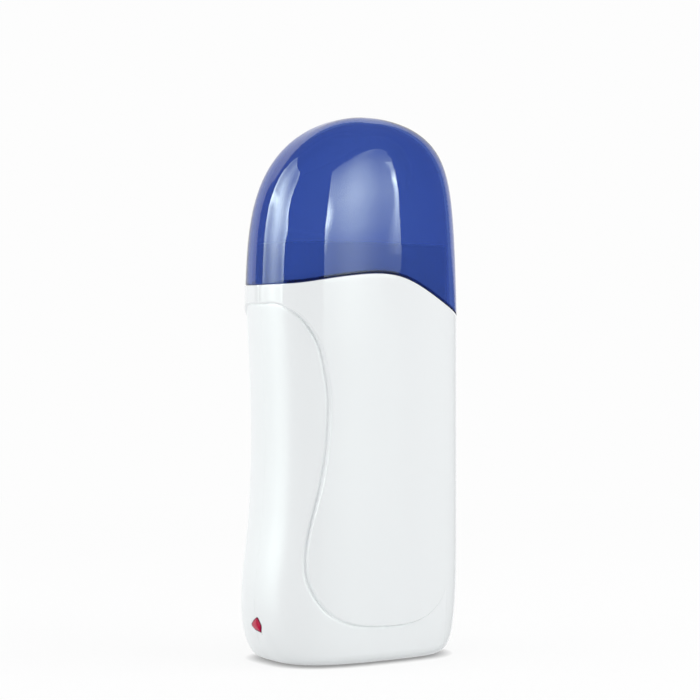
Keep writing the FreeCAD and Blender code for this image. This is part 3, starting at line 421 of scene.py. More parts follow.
def satin_where(made, attribute, extra):
    """Add roughness where a vertex attribute of the piece is set."""
    nodes, links = made.node_tree.nodes, made.node_tree.links
    rough = nodes["Principled BSDF"].inputs["Roughness"]
    mark, add = nodes.new("ShaderNodeAttribute"), nodes.new("ShaderNodeMath")
    mark.attribute_name = attribute
    add.operation = "MULTIPLY_ADD"
    add.inputs[1].default_value = extra
    links.new(mark.outputs["Fac"], add.inputs[0])
    links.new(rough.links[0].from_socket, add.inputs[2])
    links.new(add.outputs[0], rough)


def painted_shade_where(made, attribute, tint):
    """Paint shade: multiply the base colour by a dark tint where a vertex attribute of the piece is
    set.
    """
    nodes, links = made.node_tree.nodes, made.node_tree.links
    colour = nodes["Principled BSDF"].inputs["Base Color"]
    mark, shaded = nodes.new("ShaderNodeAttribute"), nodes.new("ShaderNodeMixRGB")
    mark.attribute_name = attribute
    shaded.blend_type = "MULTIPLY"
    shaded.inputs["Color2"].default_value = (*tint, 1)
    links.new(mark.outputs["Fac"], shaded.inputs["Fac"])
    links.new(colour.links[0].from_socket, shaded.inputs["Color1"])
    links.new(shaded.outputs["Color"], colour)


WHITE = material("polished_white_moulding", (0.86, 0.885, 0.895), 0.07, drift=0.012,
                 drift_scale=30, unevenness=0.03, grain=90, depth=0.00003, bump=0.06)
satin_where(WHITE, "grip", 0.22)
COLLAR = material("satin_white_collar", (0.92, 0.925, 0.925), 0.32, drift=0.015, grain=1500,
                  depth=0.00002)
CLEAR_BLUE = material("clear_blue_cap", (0.375, 0.475, 0.748), 0.015, drift=0.02, drift_scale=12,
                      unevenness=0.008, bump=0, Transmission_Weight=1.0, IOR=1.49)
tint_by_thickness(CLEAR_BLUE, (0.07, 0.30, 0.725), 300)
# painted shade: the cap's lowest millimetre gets a dark navy base colour, for the shaded gap seen
# through its rim
painted_shade_where(CLEAR_BLUE, "rim", (0.06, 0.09, 0.2))
CLEAR_RED = material("clear_red_lens", (0.74, 0.008, 0.075), 0.05, drift=0.2, drift_scale=300,
                     unevenness=0.02, grain=400, depth=0.00002, bump=0.05,
                     Transmission_Weight=0.35, IOR=1.49, Specular_IOR_Level=0.3)
# painted shade: the lens's outer edge gets a darker base colour, for the shade round its rim
painted_shade_where(CLEAR_RED, "edge", (0.22, 0.5, 0.7))

NODE_LOOKS = {
    "neck_collar": COLLAR,
    "chamber_liner": material("liner_white", (0.80, 0.80, 0.78), 0.45, grain=2000),
    "heater_plate": material("rolled_aluminium", (0.72, 0.73, 0.75), 0.28, grain=900,
                             Metallic=1.0),
    "insulating_film": material("amber_film", (0.60, 0.28, 0.05), 0.2, drift=0.1),
    "ptc_tablets": material("sintered_ceramic", (0.07, 0.07, 0.075), 0.75, drift=0.3,
                            drift_scale=200, grain=4000, bump=0.5),
    "thermal_fuse": material("tinned_case", (0.66, 0.56, 0.38), 0.3, Metallic=1.0),
    "fuse_sleeve": material("glass_fibre_sleeve", (0.78, 0.76, 0.68), 0.7, grain=3000, bump=0.5),
    "inlet_housing": material("black_moulding", (0.018, 0.018, 0.02), 0.38, drift=0.2,
                              grain=2500, bump=0.4),
    "inlet_pins": material("nickel_plating", (0.78, 0.76, 0.72), 0.18, Metallic=1.0),
    "neon_lamp": material("lamp_glass", (0.9, 0.82, 0.74), 0.05, Transmission_Weight=0.7),
    "lamp_board": material("tan_laminate", (0.42, 0.28, 0.12), 0.55, drift=0.15, grain=3000),
    "lamp_resistor": material("resistor_coat", (0.52, 0.40, 0.22), 0.4),
    "shell_screws": material("zinc_plating", (0.60, 0.61, 0.64), 0.3, Metallic=1.0, drift=0.1),
}
BRASS = material("rolled_brass", (0.72, 0.52, 0.22), 0.3, Metallic=1.0)
SPRING_STRIP = material("spring_strip", (0.62, 0.63, 0.65), 0.25, Metallic=1.0)
BROWN_WIRE = material("brown_insulation", (0.10, 0.04, 0.02), 0.5, drift=0.1)
BLUE_WIRE = material("blue_insulation", (0.03, 0.09, 0.36), 0.5, drift=0.1)
for look, names in ((BRASS, ("inner_electrode", "outer_electrode", "crimp_terminals")),
                    (SPRING_STRIP, ("heater_clip", "cartridge_spring")),
                    (BROWN_WIRE, ("live_wire", "lamp_live_wire")),
                    (BLUE_WIRE, ("neutral_wire", "lamp_neutral_wire"))):
    NODE_LOOKS.update(dict.fromkeys(names, look))
for name, look in NODE_LOOKS.items():
    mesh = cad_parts[name].data
    mesh.materials.clear()
    mesh.materials.append(look)


# ---------------------------------------------------------------- housing

SIDES = {"front": -1, "rear": 1}
SHELL_COLUMNS = 108
FLOOR_ROWS, CORNER_ROWS, WALL_ROWS, ROLL_ROWS = 5, 32, 92, 4
INNER_ROWS, INNER_CORNER_ROWS = 22, 10
REFINE_BANDS, FAR = (2.6, 1.8, 1.2), 9      # cells nearer than each band are halved
SPLIT_NEARNESS = 0.4    # added to the distance from the split, so that fewer cells are halved
EDGE_FINE_TO = 35.0     # beyond this X the grip's edge is gone and needs no small cells
GRIP_MARK = (-0.2, 0.4)         # where the grip's satin finish sets in beside the edge
GRIP_MARK_ENDS = (24, 38)       # X over which it fades out towards the far narrow side
ROLL = 0.3
CORNER_TALL = 18.0
SPLIT_HALF_GAP = 0.02   # half the gap between the two shells
SCREW_ACROSS, SCREW_HEIGHT = 27.0, 38.0
WELL_RADIUS, WELL_FLOOR, TUBE_RADIUS, TUBE_START, TUBE_END = 3.2, 4.2, 4.4, 21.5, -1.0
INLET_HALF, INLET_HEIGHT = (10.55, 6.55), 24.0
CUT_RUN, INLET_CUT_START = 30.0, 15.0
FOOT_ACROSS, FOOT_ALONG, FOOT_RADIUS = (-18.0, 24.0), 11.0, 4.0
FOOT_SUNK, FOOT_ROUND = 1.0, 0.2
ROW_ENDS = np.cumsum([FLOOR_ROWS, CORNER_ROWS + WALL_ROWS, ROLL_ROWS, 1, INNER_ROWS, 2])


def wall_height(count, corner_rows, rows, low, top):
    """Height of a wall's row: close together in the foot's corner, then even."""
    corner = CORNER_TALL * (1 - np.cos(np.pi / 2 * np.clip(count / corner_rows, 0, 1)))
    above = np.clip((count - corner_rows) / (rows - corner_rows), 0, 1)
    return low + corner + above * (top - low - CORNER_TALL)


def shell_spots(way, row):
    """Points of one half of the housing: floor, outside, rolled rim, inside, inner floor."""
    ends = ROW_ENDS
    turn = np.interp(way, RING_WAY, TURNS)
    top = seam_height(np.interp(way, RING_WAY, RING_X))
    count = np.clip(row - ends[0], 0, ends[1] - ends[0])
    z = wall_height(count, CORNER_ROWS, CORNER_ROWS + WALL_ROWS, LIFT, top - ROLL)
    x, y = skin(way, z)
    y = y * np.clip(row / ends[0], 0, 1)
    # rolled rim
    angle = np.pi / 2 * np.clip((row - ends[1]) / ROLL_ROWS, 0, 1)
    inset = ROLL * (1 - np.cos(angle))
    x = x - np.sign(x) * inset * np.clip(abs(x) / HALF_WIDTH, 0, 1)
    y = y * (1 - inset / HALF_DEPTH)
    z = z + np.where(row > ends[1], ROLL * np.sin(angle), 0)
    # inside
    inner_low = LIFT + FLOOR_WALL
    down = np.clip(ends[4] - row, 0, INNER_ROWS)
    inner_z = wall_height(down, INNER_CORNER_ROWS, INNER_ROWS, inner_low, top)
    outer_z = inner_z - FLOOR_WALL
    inner_x, inner_y = section(turn, grip_reach(outer_z) - SIDE_WALL,
                               heel_reach(outer_z) - SIDE_WALL, face_reach(outer_z) - FACE_WALL)
    inner_y = inner_y * np.clip((ends[5] - row) / (ends[5] - ends[4]), 0, 1)
    inward = np.clip(row - ends[2], 0, 1)
    return (x + (inner_x - x) * inward, y + (inner_y - y) * inward,
            z + (inner_z - z) * inward)


def shell_nearness(way, row):
    """How near a spot of the sheet is to a feature that needs small cells."""
    wall = (row > ROW_ENDS[0]) & (row < ROW_ENDS[1])
    top = seam_height(np.interp(way, RING_WAY, RING_X))
    count = np.clip(row - ROW_ENDS[0], 0, ROW_ENDS[1] - ROW_ENDS[0])
    z = wall_height(count, CORNER_ROWS, CORNER_ROWS + WALL_ROWS, LIFT, top - ROLL)
    x = np.interp(way, RING_WAY, RING_X)
    step = abs(edge_distance(way, z)) + np.where(x > EDGE_FINE_TO, FAR, 0)
    split = np.minimum(way, HALF_RING - way) + SPLIT_NEARNESS
    return np.where(wall, np.minimum(step, split), FAR)


def build_shell(side):
    """One half of the housing, closed along the split. Its grip is marked for a satin finish,
    which fades out towards the far narrow side."""
    bm = ruled_sheet(SHELL_COLUMNS, int(ROW_ENDS[-1]), HALF_RING)
    refine(bm, shell_nearness, REFINE_BANDS)
    way, row = sheet_spots(bm)
    x, y, z = shell_spots(way, row)
    on_grip = smooth_step(-edge_distance(way, z), *GRIP_MARK) * (row < ROW_ENDS[1])
    mark_vertices(bm, "grip", on_grip * (1 - smooth_step(x, *GRIP_MARK_ENDS)))
    move_vertices(bm, x, SIDES[side] * np.maximum(y, SPLIT_HALF_GAP), z)
    bmesh.ops.remove_doubles(bm, verts=bm.verts, dist=1e-7)
    rim = [e for e in bm.edges if e.is_boundary]
    bmesh.ops.triangle_fill(bm, edges=rim, use_beauty=True)
    return bm


# the lamp's lens: a drop laid round circles (Y, Z, radius), the smallest one its tip
DROP_ROUNDS = [(-1.5, 15.7, 1.35), (-2.4, 14.1, 1.6), (2.4, 13.95, 0.6), (0.2, 14.1, 1.9),
               (-3.0, 12.1, 0.4)]
DROP_GAP, DROP_CUT_FROM, DROP_CUT_RUN, DROP_CUT_POINTS = 0.1, -60.0, 25.0, 64


def drop_outline(count, grow=0.0):
    """Outline of the lamp's lens as (Y, Z) points."""
    spots = []
    for i in range(count):
        angle = 2 * math.pi * i / count - math.pi
        out = Vector((math.cos(angle), math.sin(angle)))
        spots.append(max((Vector((y, z)) + (radius + grow) * out for y, z, radius in DROP_ROUNDS),
                         key=out.dot))
    return spots


def pressed(bm, ring, run):
    """Prism from a ring of points."""
    face = bm.faces.new([bm.verts.new(Vector(spot) * MM) for spot in ring])
    out = bmesh.ops.extrude_face_region(bm, geom=[face])
    bmesh.ops.translate(bm, vec=Vector(run) * MM,
                        verts=[g for g in out["geom"] if isinstance(g, bmesh.types.BMVert)])


def circle(across, up, radius, count=40):
    """Points of a circle in a flat frame."""
    angles = [2 * math.pi * i / count for i in range(count)]
    return [(across + radius * math.cos(a), up + radius * math.sin(a)) for a in angles]


def drop_cutter():
    """The lens's opening in the narrow side."""
    bm = bmesh.new()
    pressed(bm, [(DROP_CUT_FROM + AXIS_X, y, z)
                 for y, z in drop_outline(DROP_CUT_POINTS, DROP_GAP)], (DROP_CUT_RUN, 0, 0))
    return loose_object("drop_cutter", bm)


def rear_cutters():
    """The screw wells and the inlet's opening."""
    cutters = []
    for across in (-SCREW_ACROSS, SCREW_ACROSS):
        bm = bmesh.new()
        pressed(bm, [(x + AXIS_X, WELL_FLOOR, z)
                     for x, z in circle(across, SCREW_HEIGHT, WELL_RADIUS)], (0, CUT_RUN, 0))
        cutters.append(loose_object("well_cutter", bm))
    bm = bmesh.new()
    wide, tall = INLET_HALF
    corners = [(-wide, -tall), (wide, -tall), (wide, tall), (-wide, tall)]
    pressed(bm, [(x + AXIS_X, INLET_CUT_START, INLET_HEIGHT + z) for x, z in corners],
            (0, CUT_RUN, 0))
    return cutters + [loose_object("inlet_cutter", bm)]


def screw_tubes():
    """Tubes that carry the screw wells inside the rear shell."""
    bm = bmesh.new()
    for across in (-SCREW_ACROSS, SCREW_ACROSS):
        outer, inner = (circle(across, SCREW_HEIGHT, r) for r in (TUBE_RADIUS, WELL_RADIUS))
        rings = [[bm.verts.new(Vector((x + AXIS_X, y, z)) * MM) for x, z in ring]
                 for ring, y in ((outer, TUBE_END), (outer, TUBE_START), (inner, TUBE_START),
                                 (inner, WELL_FLOOR))]
        for first, second in zip(rings, rings[1:]):
            edges = [bm.edges.get((a, b)) or bm.edges.new((a, b)) for ring in (first, second)
                     for a, b in zip(ring, ring[1:] + ring[:1])]
            bmesh.ops.bridge_loops(bm, edges=edges)
        bm.faces.new(rings[0])
        bm.faces.new(rings[-1])
    return bm


def feet(side):
    """Two low round pads under one shell."""
    bm = bmesh.new()
    for across in FOOT_ACROSS:
        spots = circle(across, SIDES[side] * FOOT_ALONG, FOOT_RADIUS)
        pressed(bm, [(x + AXIS_X, y, 0) for x, y in spots], (0, 0, LIFT + FOOT_SUNK))
    rims = [e for e in bm.edges if max(v.co.z for v in e.verts) < 1e-6]
    bmesh.ops.bevel(bm, geom=rims, offset=FOOT_ROUND * MM, offset_type="OFFSET", segments=2,
                    profile=0.5, affect="EDGES", material=-1)
    return bm


for side in SIDES:
    shell = piece(f"{side}_shell_skin", build_shell(side), "housing", WHITE,
                  sharp=50)
    opened(shell, [drop_cutter()] + (rear_cutters() if side == "rear" else []))
    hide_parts(f"{side}_shell")
    piece(f"{side}_feet", feet(side), "housing", WHITE, sharp=30)
piece("screw_tubes", screw_tubes(), "housing", WHITE, sharp=30)


# ---------------------------------------------------------------- cap

CAP_COLUMNS = 232
CAP_TOP_ROWS, CAP_SIDE_ROWS, CAP_ROLL_ROWS = 52, 24, 3
CAP_TOP_DROP = 40.0
CAP_ROLL = 0.25
RIM_ROWS, RIM_TALL = 5, 1.6     # close rows just above the rim
RIM_SHADE_HEIGHTS = (0.8, 1.3)           # height above the rim where its painted shade ends
RIM_SHADE_X = (-39.9, -37)       # X over which that painted shade sets in from the grip


def cap_height(count, apex, low):
    """Height of a row counted from the apex: close together at the top, then even."""
    top = np.clip(count / CAP_TOP_ROWS, 0, 1)
    side = np.clip((count - CAP_TOP_ROWS) / (CAP_SIDE_ROWS - RIM_ROWS), 0, 1)
    rim = np.clip((count - CAP_TOP_ROWS - CAP_SIDE_ROWS + RIM_ROWS) / RIM_ROWS, 0, 1)
    return (apex - CAP_TOP_DROP * top ** 2 - side * (apex - CAP_TOP_DROP - low - RIM_TALL)
            - rim * RIM_TALL)


def cap_spots(way, row):
    """Points of the cap: outside down from the apex, rolled rim, inside up to its apex."""
    wall_rows = CAP_TOP_ROWS + CAP_SIDE_ROWS
    rear = way > HALF_RING
    turn = np.interp(np.where(rear, 2 * HALF_RING - way, way), RING_WAY, TURNS)
    edge_x, _ = section(turn, HALF_WIDTH, HALF_WIDTH, HALF_DEPTH)
    low = seam_height(edge_x) + CAP_GAP
    outer_z = cap_height(np.clip(row, 0, wall_rows), FULL_HEIGHT, low + CAP_ROLL)
    angle = np.pi / 2 * np.clip((row - wall_rows) / CAP_ROLL_ROWS, 0, 1)
    inset = CAP_ROLL * (1 - np.cos(angle))
    x, y = dome(turn, outer_z, 0.0)
    x, y = x * (1 - inset / HALF_WIDTH), y * (1 - inset / HALF_DEPTH)
    outer_z = outer_z - CAP_ROLL * np.sin(angle)
    inner_start = wall_rows + CAP_ROLL_ROWS + 1
    inner_z = cap_height(np.clip(inner_start + wall_rows - row, 0, wall_rows),
                         FULL_HEIGHT - CAP_WALL, low)
    inner_x, inner_y = dome(turn, inner_z, CAP_WALL)
    inward = np.clip(row - inner_start + 1, 0, 1)
    sign = np.where(rear, 1, -1)
    return (x + (inner_x - x) * inward, sign * (y + (inner_y - y) * inward),
            outer_z + (inner_z - outer_z) * inward)


def build_cap():
    """The domed cap in one closed sheet, its rim marked for painted shade, a darker base colour,
    except at the grip.
    """
    rows = 2 * (CAP_TOP_ROWS + CAP_SIDE_ROWS) + CAP_ROLL_ROWS + 1
    bm = ruled_sheet(CAP_COLUMNS, rows, 2 * HALF_RING)
    way, row = sheet_spots(bm)
    x, y, z = cap_spots(way, row)
    turn = np.interp(np.minimum(way, 2 * HALF_RING - way), RING_WAY, TURNS)
    edge_x, _ = section(turn, HALF_WIDTH, HALF_WIDTH, HALF_DEPTH)
    above = z - seam_height(edge_x) - CAP_GAP
    # painted shade on the rim: full on its lowest part, gone higher up and towards the grip
    mark_vertices(bm, "rim", (1 - smooth_step(above, *RIM_SHADE_HEIGHTS))
                  * smooth_step(edge_x, *RIM_SHADE_X))
    move_vertices(bm, x, y, z)
    bmesh.ops.remove_doubles(bm, verts=bm.verts, dist=2e-7)
    return bm


cap = piece("cap_dome", build_cap(), "cap", CLEAR_BLUE, sharp=60)
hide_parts("cap")


# ---------------------------------------------------------------- lamp lens

LENS_CROWN, LENS_PROUD, LENS_BACK = 0.3, 0.05, -37.5
LENS_MIDDLE, LENS_POINTS, LENS_RINGS = (-0.8, 14.2), 72, 9
LENS_EDGE_SHADE = (0.72, 1.0)         # share of the way out over which its painted shade gets deeper


def foot_face(y, z):
    """How far the grip's foot reaches towards -X at a spot of its narrow side."""
    left, right = grip_reach(z), heel_reach(z)
    along = np.clip(abs(y) / (face_reach(z) - STEP), 0, 1)
    return (left + right) / 2 * (1 - along ** POWER) ** (1 / POWER) - (right - left) / 2


def build_lens():
    """Crowned red drop, its rim just proud of the foot."""
    outline = np.array([tuple(p) for p in drop_outline(LENS_POINTS)])
    middle = np.array(LENS_MIDDLE)
    bm = ruled_sheet(LENS_POINTS, LENS_RINGS + 1, LENS_POINTS)
    way, row = sheet_spots(bm)
    spot = outline[np.round(way).astype(int) % LENS_POINTS]
    share = np.sin(np.pi / 2 * np.clip(row / LENS_RINGS, 0, 1))
    y, z = (middle + (spot - middle) * share[:, None]).T
    reach = foot_face(y, z) + LENS_PROUD + LENS_CROWN * (1 - share ** 2)
    # painted shade, rising towards the outline
    mark_vertices(bm, "edge", smooth_step(share, *LENS_EDGE_SHADE))
    move_vertices(bm, np.where(row > LENS_RINGS, LENS_BACK, -reach), y, z)
    bmesh.ops.remove_doubles(bm, verts=bm.verts, dist=1e-7)
    bmesh.ops.holes_fill(bm, edges=[e for e in bm.edges if e.is_boundary], sides=0)
    return bm


lens = piece("lamp_lens_drop", build_lens(), "housing", CLEAR_RED, sharp=40)
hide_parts("lamp_lens")


# ---------------------------------------------------------------- studio

TURN = math.radians(32.9)       # the camera's way round from straight in front
CAMERA_AWAY, CAMERA_HIGH, SIDE_STEP = 732.0, 113.3, 0.6
SENSOR_WIDTH, FOCAL_LENGTH = 36.0, 101.2
ahead = Vector((math.sin(TURN), math.cos(TURN), 0))
aside = Vector((math.cos(TURN), -math.sin(TURN), 0))
camera = bpy.data.objects.new("camera", bpy.data.cameras.new("camera"))
bpy.context.scene.collection.objects.link(camera)
camera.location = (Vector((AXIS_X, 0, CAMERA_HIGH)) - ahead * CAMERA_AWAY
                   - aside * SIDE_STEP) * MM
camera.rotation_euler = (math.pi / 2, 0, -TURN)
camera.data.sensor_width = SENSOR_WIDTH
camera.data.lens = FOCAL_LENGTH
camera.data.clip_start, camera.data.clip_end = 0.01, 50
bpy.context.scene.camera = camera


def maths(nodes, links, operation, *given):
    """Math node fed with sockets or numbers."""
    made = nodes.new("ShaderNodeMath")
    made.operation = operation
    for place, value in zip(made.inputs, given):
        if isinstance(value, (int, float)):
            place.default_value = value
        else:
            links.new(value, place)
    return made.outputs[0]


def ranged(nodes, links, value, span, to):
    """Smooth rise over a span of the value, from the first of to up to the second."""
    made = nodes.new("ShaderNodeMapRange")
    made.interpolation_type = "SMOOTHSTEP"
    for name, number in zip(("From Min", "From Max", "To Min", "To Max"), (*span, *to)):
        made.inputs[name].default_value = number
    links.new(value, made.inputs["Value"])
    return made.outputs["Result"]


def blended(nodes, links, share, first, second):
    """first where share is 0, second where it is 1."""
    made = nodes.new("ShaderNodeMix")
    links.new(share, made.inputs["Factor"])
    for name, value in (("A", first), ("B", second)):
        if isinstance(value, (int, float)):
            made.inputs[name].default_value = value
        else:
            links.new(value, made.inputs[name])
    return made.outputs["Result"]


def seen_straight(nodes, links):
    """1 for what the camera sees, also through glass."""
    path = nodes.new("ShaderNodeLightPath")
    return maths(nodes, links, "MAXIMUM", path.outputs["Is Camera Ray"],
                 path.outputs["Is Transmission Ray"])


PAPER_WHITE, ROOM_DIM, ROOM_LIT = 0.982, 0.12, 0.90
BEHIND_GLASS = 2.1      # for the light that reaches what stands inside the clear cap
# in gloss: a white screen within a cone whose axis dips a little below the view, in a dim room
SCREEN_LEVEL, SCREEN_DIP, SCREEN_EDGE = 0.986, 0.165, (0.465, 0.485)
SCREEN_AXIS = (*(ahead * SCREEN_LEVEL).xy, -SCREEN_DIP)
# the screen's right end lies across this direction, and farther out above the horizon
END_SIDE, END_HEIGHTS, END_LEAN = (-0.469, 0.883, 0), (0, 0.1), (0, 0.32)
END_SLOPE, END_LEVEL = 0.15, 0.475


def build_backdrop():
    """White room: paper white to the camera, lit for soft light, a screen for the gloss."""
    world = bpy.data.worlds.new("studio")
    bpy.context.scene.world = world
    world.use_nodes = True
    nodes, links = world.node_tree.nodes, world.node_tree.links
    backdrop = nodes["Background"]
    backdrop.inputs["Color"].default_value = (1, 1, 1, 1)
    path, spot = nodes.new("ShaderNodeLightPath"), nodes.new("ShaderNodeTexCoord")
    toward, beside = nodes.new("ShaderNodeVectorMath"), nodes.new("ShaderNodeVectorMath")
    for made, axis in ((toward, SCREEN_AXIS), (beside, END_SIDE)):
        made.operation = "DOT_PRODUCT"
        links.new(spot.outputs["Generated"], made.inputs[0])
        made.inputs[1].default_value = axis
    split = nodes.new("ShaderNodeSeparateXYZ")
    links.new(spot.outputs["Generated"], split.inputs[0])
    right_end = maths(nodes, links, "ADD", beside.outputs["Value"],
                      ranged(nodes, links, split.outputs["Z"], END_HEIGHTS, END_LEAN))
    reach = maths(nodes, links, "MINIMUM", toward.outputs["Value"],
                  maths(nodes, links, "MULTIPLY_ADD", right_end, END_SLOPE, END_LEVEL))
    screen = ranged(nodes, links, reach, SCREEN_EDGE, (ROOM_DIM, PAPER_WHITE))
    unseen = blended(nodes, links, path.outputs["Is Glossy Ray"], ROOM_LIT, screen)
    past_diffuse = maths(nodes, links, "GREATER_THAN", path.outputs["Diffuse Depth"], 0.5)
    shown = blended(nodes, links, past_diffuse, PAPER_WHITE, BEHIND_GLASS)
    links.new(blended(nodes, links, seen_straight(nodes, links), unseen, shown),
              backdrop.inputs["Strength"])


FLOOR_HALF, FLOOR_GREY = 3.0, (0.86, 0.86, 0.86, 1)
CONTACT_REACH, CONTACT_GAIN, CONTACT_BASE = 0.004, 0.5, 0.275   # painted contact shadow under the foot: the floor's glow drops where ambient occlusion finds the heater near
SHADE_GREY, SWEEP = (0.2, 0.2, 0.2, 1), (0.25, 0.8)


def build_floor():
    """Matt white paper. The camera sees it glow like the backdrop, with the heater's shadow from
    the lamps on it and a painted contact shadow where ambient occlusion dims the glow, and it fades
    into the backdrop over the sweep's distances."""
    bm = bmesh.new()
    bmesh.ops.create_grid(bm, x_segments=1, y_segments=1, size=FLOOR_HALF)
    floor = loose_object("floor", bm)
    paper = bpy.data.materials.new("white_paper")
    paper.use_nodes = True
    nodes, links = paper.node_tree.nodes, paper.node_tree.links
    shader = nodes["Principled BSDF"]
    for name, value in (("Base Color", FLOOR_GREY), ("Roughness", 0.9),
                        ("Specular IOR Level", 0.0)):
        shader.inputs[name].default_value = value
    spot, far = nodes.new("ShaderNodeTexCoord"), nodes.new("ShaderNodeVectorMath")
    far.operation = "LENGTH"
    links.new(spot.outputs["Object"], far.inputs[0])
    hidden = nodes.new("ShaderNodeAmbientOcclusion")
    hidden.inputs["Distance"].default_value = CONTACT_REACH
    glow, shade = nodes.new("ShaderNodeEmission"), nodes.new("ShaderNodeBsdfDiffuse")
    shade.inputs["Color"].default_value = SHADE_GREY
    # painted contact shadow: ambient occlusion dims the glow next to the heater
    links.new(maths(nodes, links, "MULTIPLY_ADD", hidden.outputs["AO"], CONTACT_GAIN,
                    CONTACT_BASE), glow.inputs["Strength"])
    near, plain = nodes.new("ShaderNodeAddShader"), nodes.new("ShaderNodeEmission")
    plain.inputs["Strength"].default_value = PAPER_WHITE
    links.new(glow.outputs[0], near.inputs[0])
    links.new(shade.outputs[0], near.inputs[1])
    sweep, shown = nodes.new("ShaderNodeMixShader"), nodes.new("ShaderNodeMixShader")
    parts = ((sweep, ranged(nodes, links, far.outputs["Value"], SWEEP, (0, 1)), near, plain),
             (shown, seen_straight(nodes, links), shader, sweep))
    for mix, share, first, second in parts:
        for place, value in zip(mix.inputs, (share, first.outputs[0], second.outputs[0])):
            links.new(value, place)
    links.new(shown.outputs[0], nodes["Material Output"].inputs["Surface"])
    floor.data.materials.append(paper)
    floor.visible_glossy = False


LAMP_AIM, LAMP_AWAY, LAMP_SIZE = Vector((0.0, 0.0, 0.1)), 1.0, 0.8


def soft_lamp(name, azimuth, elevation, power):
    """Soft square lamp round the heater: azimuth 0 is in front, 90 on the +X side."""
    lamp = bpy.data.objects.new(name, bpy.data.lights.new(name, "AREA"))
    lamp.data.shape = "SQUARE"
    lamp.data.size, lamp.data.energy = LAMP_SIZE, power
    bpy.context.scene.collection.objects.link(lamp)
    a, e = math.radians(azimuth), math.radians(elevation)
    out = Vector((math.sin(a) * math.cos(e), -math.cos(a) * math.cos(e), math.sin(e)))
    lamp.location = LAMP_AIM + out * LAMP_AWAY
    lamp.rotation_euler = out.to_track_quat("Z", "Y").to_euler()
    lamp.visible_glossy = lamp.visible_transmission = False


build_backdrop()
build_floor()
soft_lamp("left_lamp", -110, 32, 1.5)
soft_lamp("right_lamp", 50, 36, 2.3)


CARD_LIGHT = (0.86, 1.0, 0.95, 1)
CARD_CELLS, CARD_AWAY, CLEAR_CARD_AWAY = (16, 30), 1.2, 1.19


def profile(nodes, links, source, points):
    """Value that runs straight from point to point."""
    made = nodes.new("ShaderNodeFloatCurve")
    curve = made.mapping.curves[0]
    curve.points[0].location, curve.points[-1].location = points[0], points[-1]
    for point in points[1:-1]:
        curve.points.new(*point)
    for point in curve.points:
        point.handle_type = "VECTOR"
    made.mapping.update()
    links.new(source, made.inputs["Value"])
    return made.outputs[0]


def bright_card(name, edges, across, upward, peak, clear=False):
    """Curved light panel that shows in gloss only. Its edges are (height, left and right azimuth)
    and its light is a peak times a share across it and a share upward, both from 0 to 1. A clear
    one stands in front of the others and adds its light to theirs."""
    away = CLEAR_CARD_AWAY if clear else CARD_AWAY
    heights, lefts, rights = np.array(edges).T
    bm = bmesh.new()
    bmesh.ops.create_grid(bm, x_segments=CARD_CELLS[0], y_segments=CARD_CELLS[1], size=1,
                          calc_uvs=True)
    layer = bm.loops.layers.uv.verify()
    for face in bm.faces:
        for loop in face.loops:
            loop[layer].uv = (loop.vert.co.xy + Vector((1, 1))) / 2
    for v in bm.verts:
        u, w = (v.co.x + 1) / 2, (v.co.y + 1) / 2
        height = heights[0] + w * (heights[-1] - heights[0])
        left, right = np.interp(height, heights, lefts), np.interp(height, heights, rights)
        a = math.radians(left + u * (right - left))
        v.co = Vector((math.sin(a) * away, -math.cos(a) * away, height * MM))
    card = loose_object(name, bm)
    glow = bpy.data.materials.new(name)
    glow.use_nodes = True
    nodes, links = glow.node_tree.nodes, glow.node_tree.links
    nodes.clear()
    place, split = nodes.new("ShaderNodeUVMap"), nodes.new("ShaderNodeSeparateXYZ")
    links.new(place.outputs[0], split.inputs[0])
    share = maths(nodes, links, "MULTIPLY", profile(nodes, links, split.outputs["X"], across),
                  profile(nodes, links, split.outputs["Y"], upward))
    light, out_node = nodes.new("ShaderNodeEmission"), nodes.new("ShaderNodeOutputMaterial")
    light.inputs["Color"].default_value = CARD_LIGHT
    links.new(maths(nodes, links, "MULTIPLY", share, peak), light.inputs["Strength"])
    if clear:
        through, both = nodes.new("ShaderNodeBsdfTransparent"), nodes.new("ShaderNodeAddShader")
        links.new(light.outputs[0], both.inputs[0])
        links.new(through.outputs[0], both.inputs[1])
        light = both
    links.new(light.outputs[0], out_node.inputs["Surface"])
    card.data.materials.append(glow)
    card.visible_camera = card.visible_diffuse = False
    card.visible_transmission = card.visible_shadow = False


# the front one and its two rims light the panel and the cap's broad front
bright_card("front_panel",
            [(-400, -10, 35.3), (110, -9.7, 35.3), (135, -9.7, 31.5), (175, -9.7, 31.5),
             (200, -9.7, 34.1), (257, -9.9, 35.3), (366, -9.9, 35.6), (514, -8.6, 36.5),
             (633, -6.6, 37.7), (784, -4.0, 39.6), (851, -3.2, 40.6), (1075, -0.7, 44.5),
             (1354, 2.2, 50.7), (1440, 21, 53.8), (1530, 46, 54.3)],
            [(0, 0.75), (0.05, 0.75), (0.25, 0.7), (0.4, 0.82), (0.62, 1.0),
             (0.72, 0.93), (0.82, 0.76), (0.91, 0.53), (0.95, 0.44), (1, 0.44)],
            [(0, 0.03), (0.14, 0.05), (0.21, 0.1), (0.26, 0.1), (0.3, 0.24), (0.312, 0.4),
             (0.34, 0.35), (0.40, 0.42), (0.445, 0.64), (0.52, 0.82), (0.58, 0.95), (0.65, 0.86),
             (0.8, 0.55), (0.9, 0.33), (1, 0.2)], 9.6)
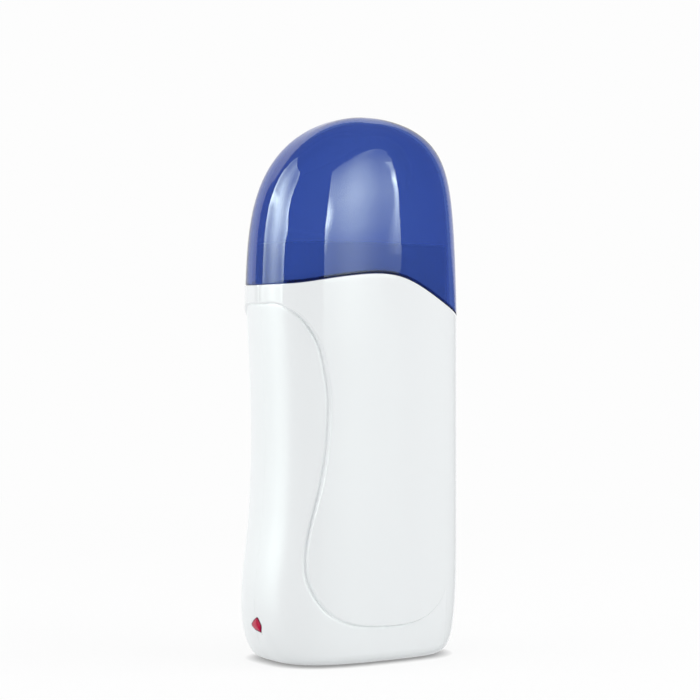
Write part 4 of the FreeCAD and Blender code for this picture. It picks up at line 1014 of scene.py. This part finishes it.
bright_card("front_panel_left_rim",
            [(330, -9.9, -5.0), (430, -9.3, -2.5), (514, -8.2, 2.0), (620, -6.2, 4.5),
             (720, -4.8, 3.0), (840, -3.4, 0.5)],
            [(0, 1), (0.3, 1), (0.6, 0.4), (1, 0)],
            [(0, 0.1), (0.16, 0.3), (0.28, 0.5), (0.38, 1), (0.57, 1), (0.73, 0.5), (0.88, 0.3),
             (1, 0)], 14.0, clear=True)
bright_card("front_panel_right_rim",
            [(300, 33.4, 35.4), (366, 33.6, 35.6), (514, 35.2, 36.5), (633, 36.7, 37.7),
             (851, 39.65, 40.55), (1075, 43.75, 44.5), (1150, 45.2, 46.1)],
            [(0, 0), (0.4, 0.9), (0.6, 1), (1, 0.8)],
            [(0, 0.05), (0.1, 0.16), (0.25, 0.28), (0.45, 0.45), (0.58, 0.7), (0.65, 1),
             (0.72, 0.6), (0.82, 0.2), (1, 0.2)], 20.0, clear=True)
# the side one and its corner light the grip and the cap's narrow end
bright_card("side_panel",
            [(-400, -147, -97.7), (240, -147, -99), (374, -148.3, -99), (477, -149.8, -91.3),
             (567, -151.3, -95.5), (769, -154.3, -94.8), (900, -155.4, -93), (1290, -150.2, -88),
             (1600, -144, -92)],
            [(0, 0.55), (0.03, 0.46), (0.07, 0.31), (0.15, 0.37), (0.25, 0.56), (0.36, 0.75),
             (0.45, 0.78), (0.55, 0.71), (0.65, 0.62), (0.75, 0.53), (0.85, 0.64), (0.93, 0.96),
             (1, 0.85)],
            [(0, 0.06), (0.17, 0.06), (0.205, 0.2), (0.26, 0.22), (0.3, 0.3), (0.34, 0.41),
             (0.37, 0.57), (0.41, 0.75), (0.45, 0.92), (0.5, 1.0), (0.575, 0.84), (0.65, 0.63),
             (0.7, 0.5), (0.8, 0.36), (1, 0.33)], 16.0)
bright_card("side_panel_corner",
            [(530, -151, -136), (580, -151.5, -132), (680, -153, -124)],
            [(0, 0.5), (0.15, 1), (0.6, 0.8), (1, 0)],
            [(0, 0), (0.35, 1), (0.7, 1), (1, 0)], 5.0, clear=True)

bpy.context.scene.view_settings.view_transform = "Standard"
